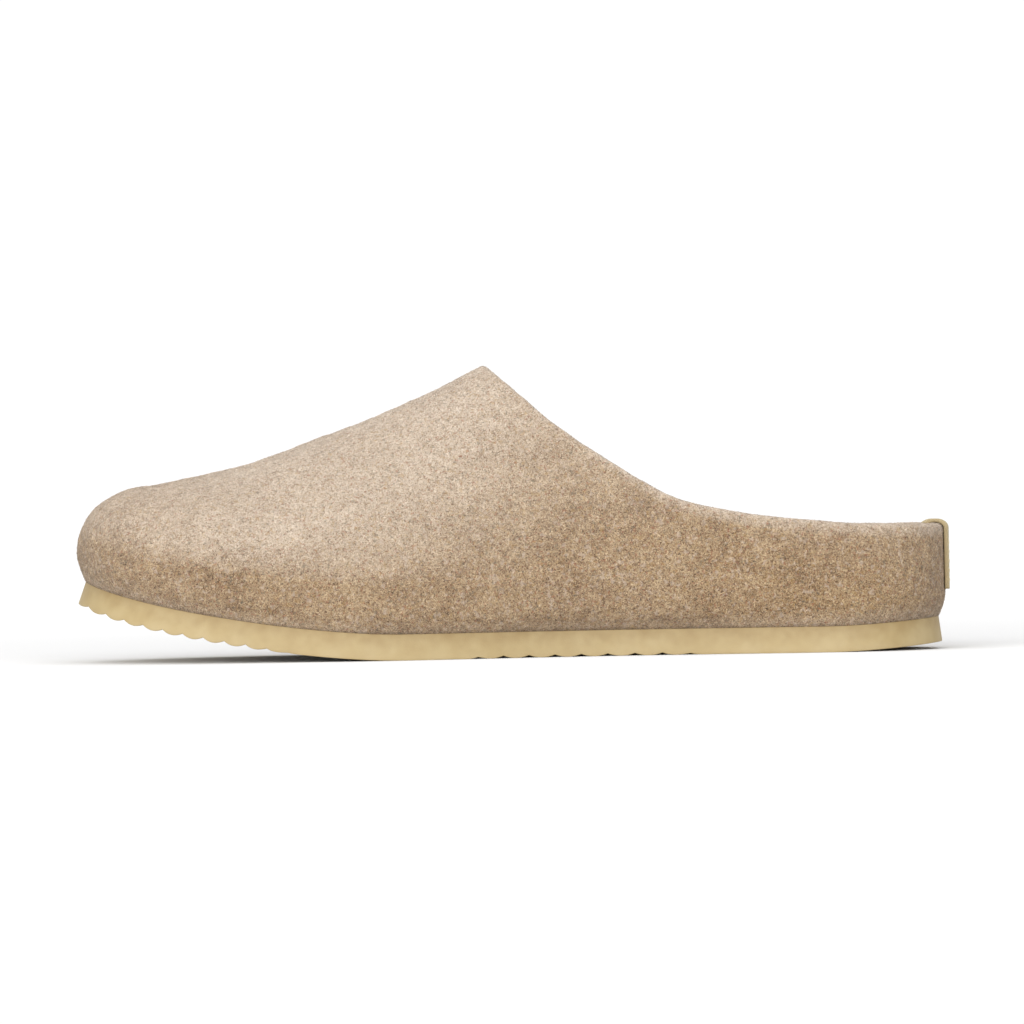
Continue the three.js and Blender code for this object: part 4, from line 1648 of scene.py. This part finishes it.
@dataclass
class Studio:
    """The floor, the lights and the camera."""

    distance: float = 2.0  # from the camera to the middle of the shoe, in metres
    framed: float = 0.3368  # what the picture's width spans there, in metres
    # Where the picture's middle lies along X and Z, in metres
    centre: tuple[float, float] = (-0.0002, 0.04705)
    roll: float = 1.0  # how far the camera leans to its right, in degrees
    sensor: float = 36.0  # width of the camera's sensor in millimetres
    floor_radius: float = 1.1  # radius of the round floor, in metres
    near_radius: float = 0.25  # radius of its middle, where its colour is even, in metres
    floor_steps: tuple[int, int] = (96, 8)  # steps round the floor, and out from its middle
    floor_colour: Colour = (0.7, 0.7, 0.7, 1.0)  # colour of the floor under the shoe
    far_colour: Colour = (0.9, 0.9, 0.9, 1.0)  # its colour far off, paler because less light gets there
    backdrop: float = 1.05  # brightness of the backdrop as the camera sees it
    ambient: float = 0.68  # brightness of the backdrop as a light
    softboxes: tuple[Softbox, ...] = (
        Softbox("key", (-0.35, -1.5, 0.6), 3.6, 0.9, 34.0),
        Softbox("top", (0.0, 0.1, 2.2), 3.0, 3.0, 29.0),
    )

    def camera(self) -> None:
        """Makes the camera, level with the middle of the shoe and looking along +Y."""
        data = bpy.data.cameras.new("camera")
        data.sensor_width = self.sensor
        data.lens = self.sensor * self.distance / self.framed
        data.clip_end = 100.0
        camera = linked("camera", data)
        x, z = self.centre
        level = Matrix.Rotation(math.radians(90), 4, "X")
        lean = Matrix.Rotation(math.radians(-self.roll), 4, "Z")
        camera.matrix_world = Matrix.Translation((x, -self.distance, z)) @ level @ lean
        bpy.context.scene.camera = camera

    def floor(self) -> None:
        """Makes the floor: a round sheet of rings about the shoe."""
        around, rings = self.floor_steps
        angle = evenly(around, 0, 2 * math.pi)[:, None]
        radius = self.floor_radius / MM * evenly(rings)[None, :]
        shell = Shell()
        grid = np.stack([radius * np.cos(angle), radius * np.sin(angle), 0 * radius * angle], axis=-1)
        shell.sheet(grid, Tile(0.0, 0.0, 1.0, 1.0), turned=True)
        floor = shell.skin().piece("floor", Place((0.0, 0.0, 0.0)))
        material, nodes = new_material("floor")
        away = nodes.add("VectorMath", {"operation": "LENGTH"}, {"Vector": nodes.millimetres()}, "Value")
        far = away.step(self.near_radius / MM, self.floor_radius / MM)
        colour = nodes.tint(self.floor_colour, self.far_colour, far)
        surface = nodes.add("BsdfDiffuse", None, {"Color": colour, "Roughness": 0.5})
        nodes.add("OutputMaterial", None, {"Surface": surface})
        floor.data.materials.append(material)

    def backdrop_light(self) -> None:
        """Makes the pale surroundings: bright to the camera and dimmer as a light."""
        world = bpy.data.worlds.new("studio")
        world.use_nodes = True
        bpy.context.scene.world = world
        nodes = Nodes(world.node_tree)
        seen = nodes.add("LightPath", output="Is Camera Ray")
        strength = self.ambient + seen * (self.backdrop - self.ambient)
        backdrop = nodes.add("Background", None, {"Color": (1.0, 1.0, 1.0, 1.0), "Strength": strength})
        nodes.add("OutputWorld", None, {"Surface": backdrop})

    def build(self) -> None:
        """Makes the whole studio."""
        self.floor()
        self.backdrop_light()
        target = Vector((self.centre[0], 0.0, self.centre[1]))
        for softbox in self.softboxes:
            softbox.build(target)
        bpy.context.scene.view_settings.view_transform = "Standard"


def main() -> None:
    """Builds the slipper and its studio."""
    logging.basicConfig(level=logging.INFO, format="%(message)s")
    studio = Studio()
    studio.camera()
    last, place = Last(), Place.from_solids()
    wool = WoolFinish("felt")
    skin = FeltUpper(last, place).build(wool)
    Nap(place).build(skin, wool)
    FeltInsole(last, place).build(replace(wool, name="insole_felt", relief=0.2))
    RubberSole(last, place).build(RubberFinish())
    PullTab(last, place).build(LeatherFinish(), ThreadFinish())
    studio.build()


if __name__ == "__main__":
    main()
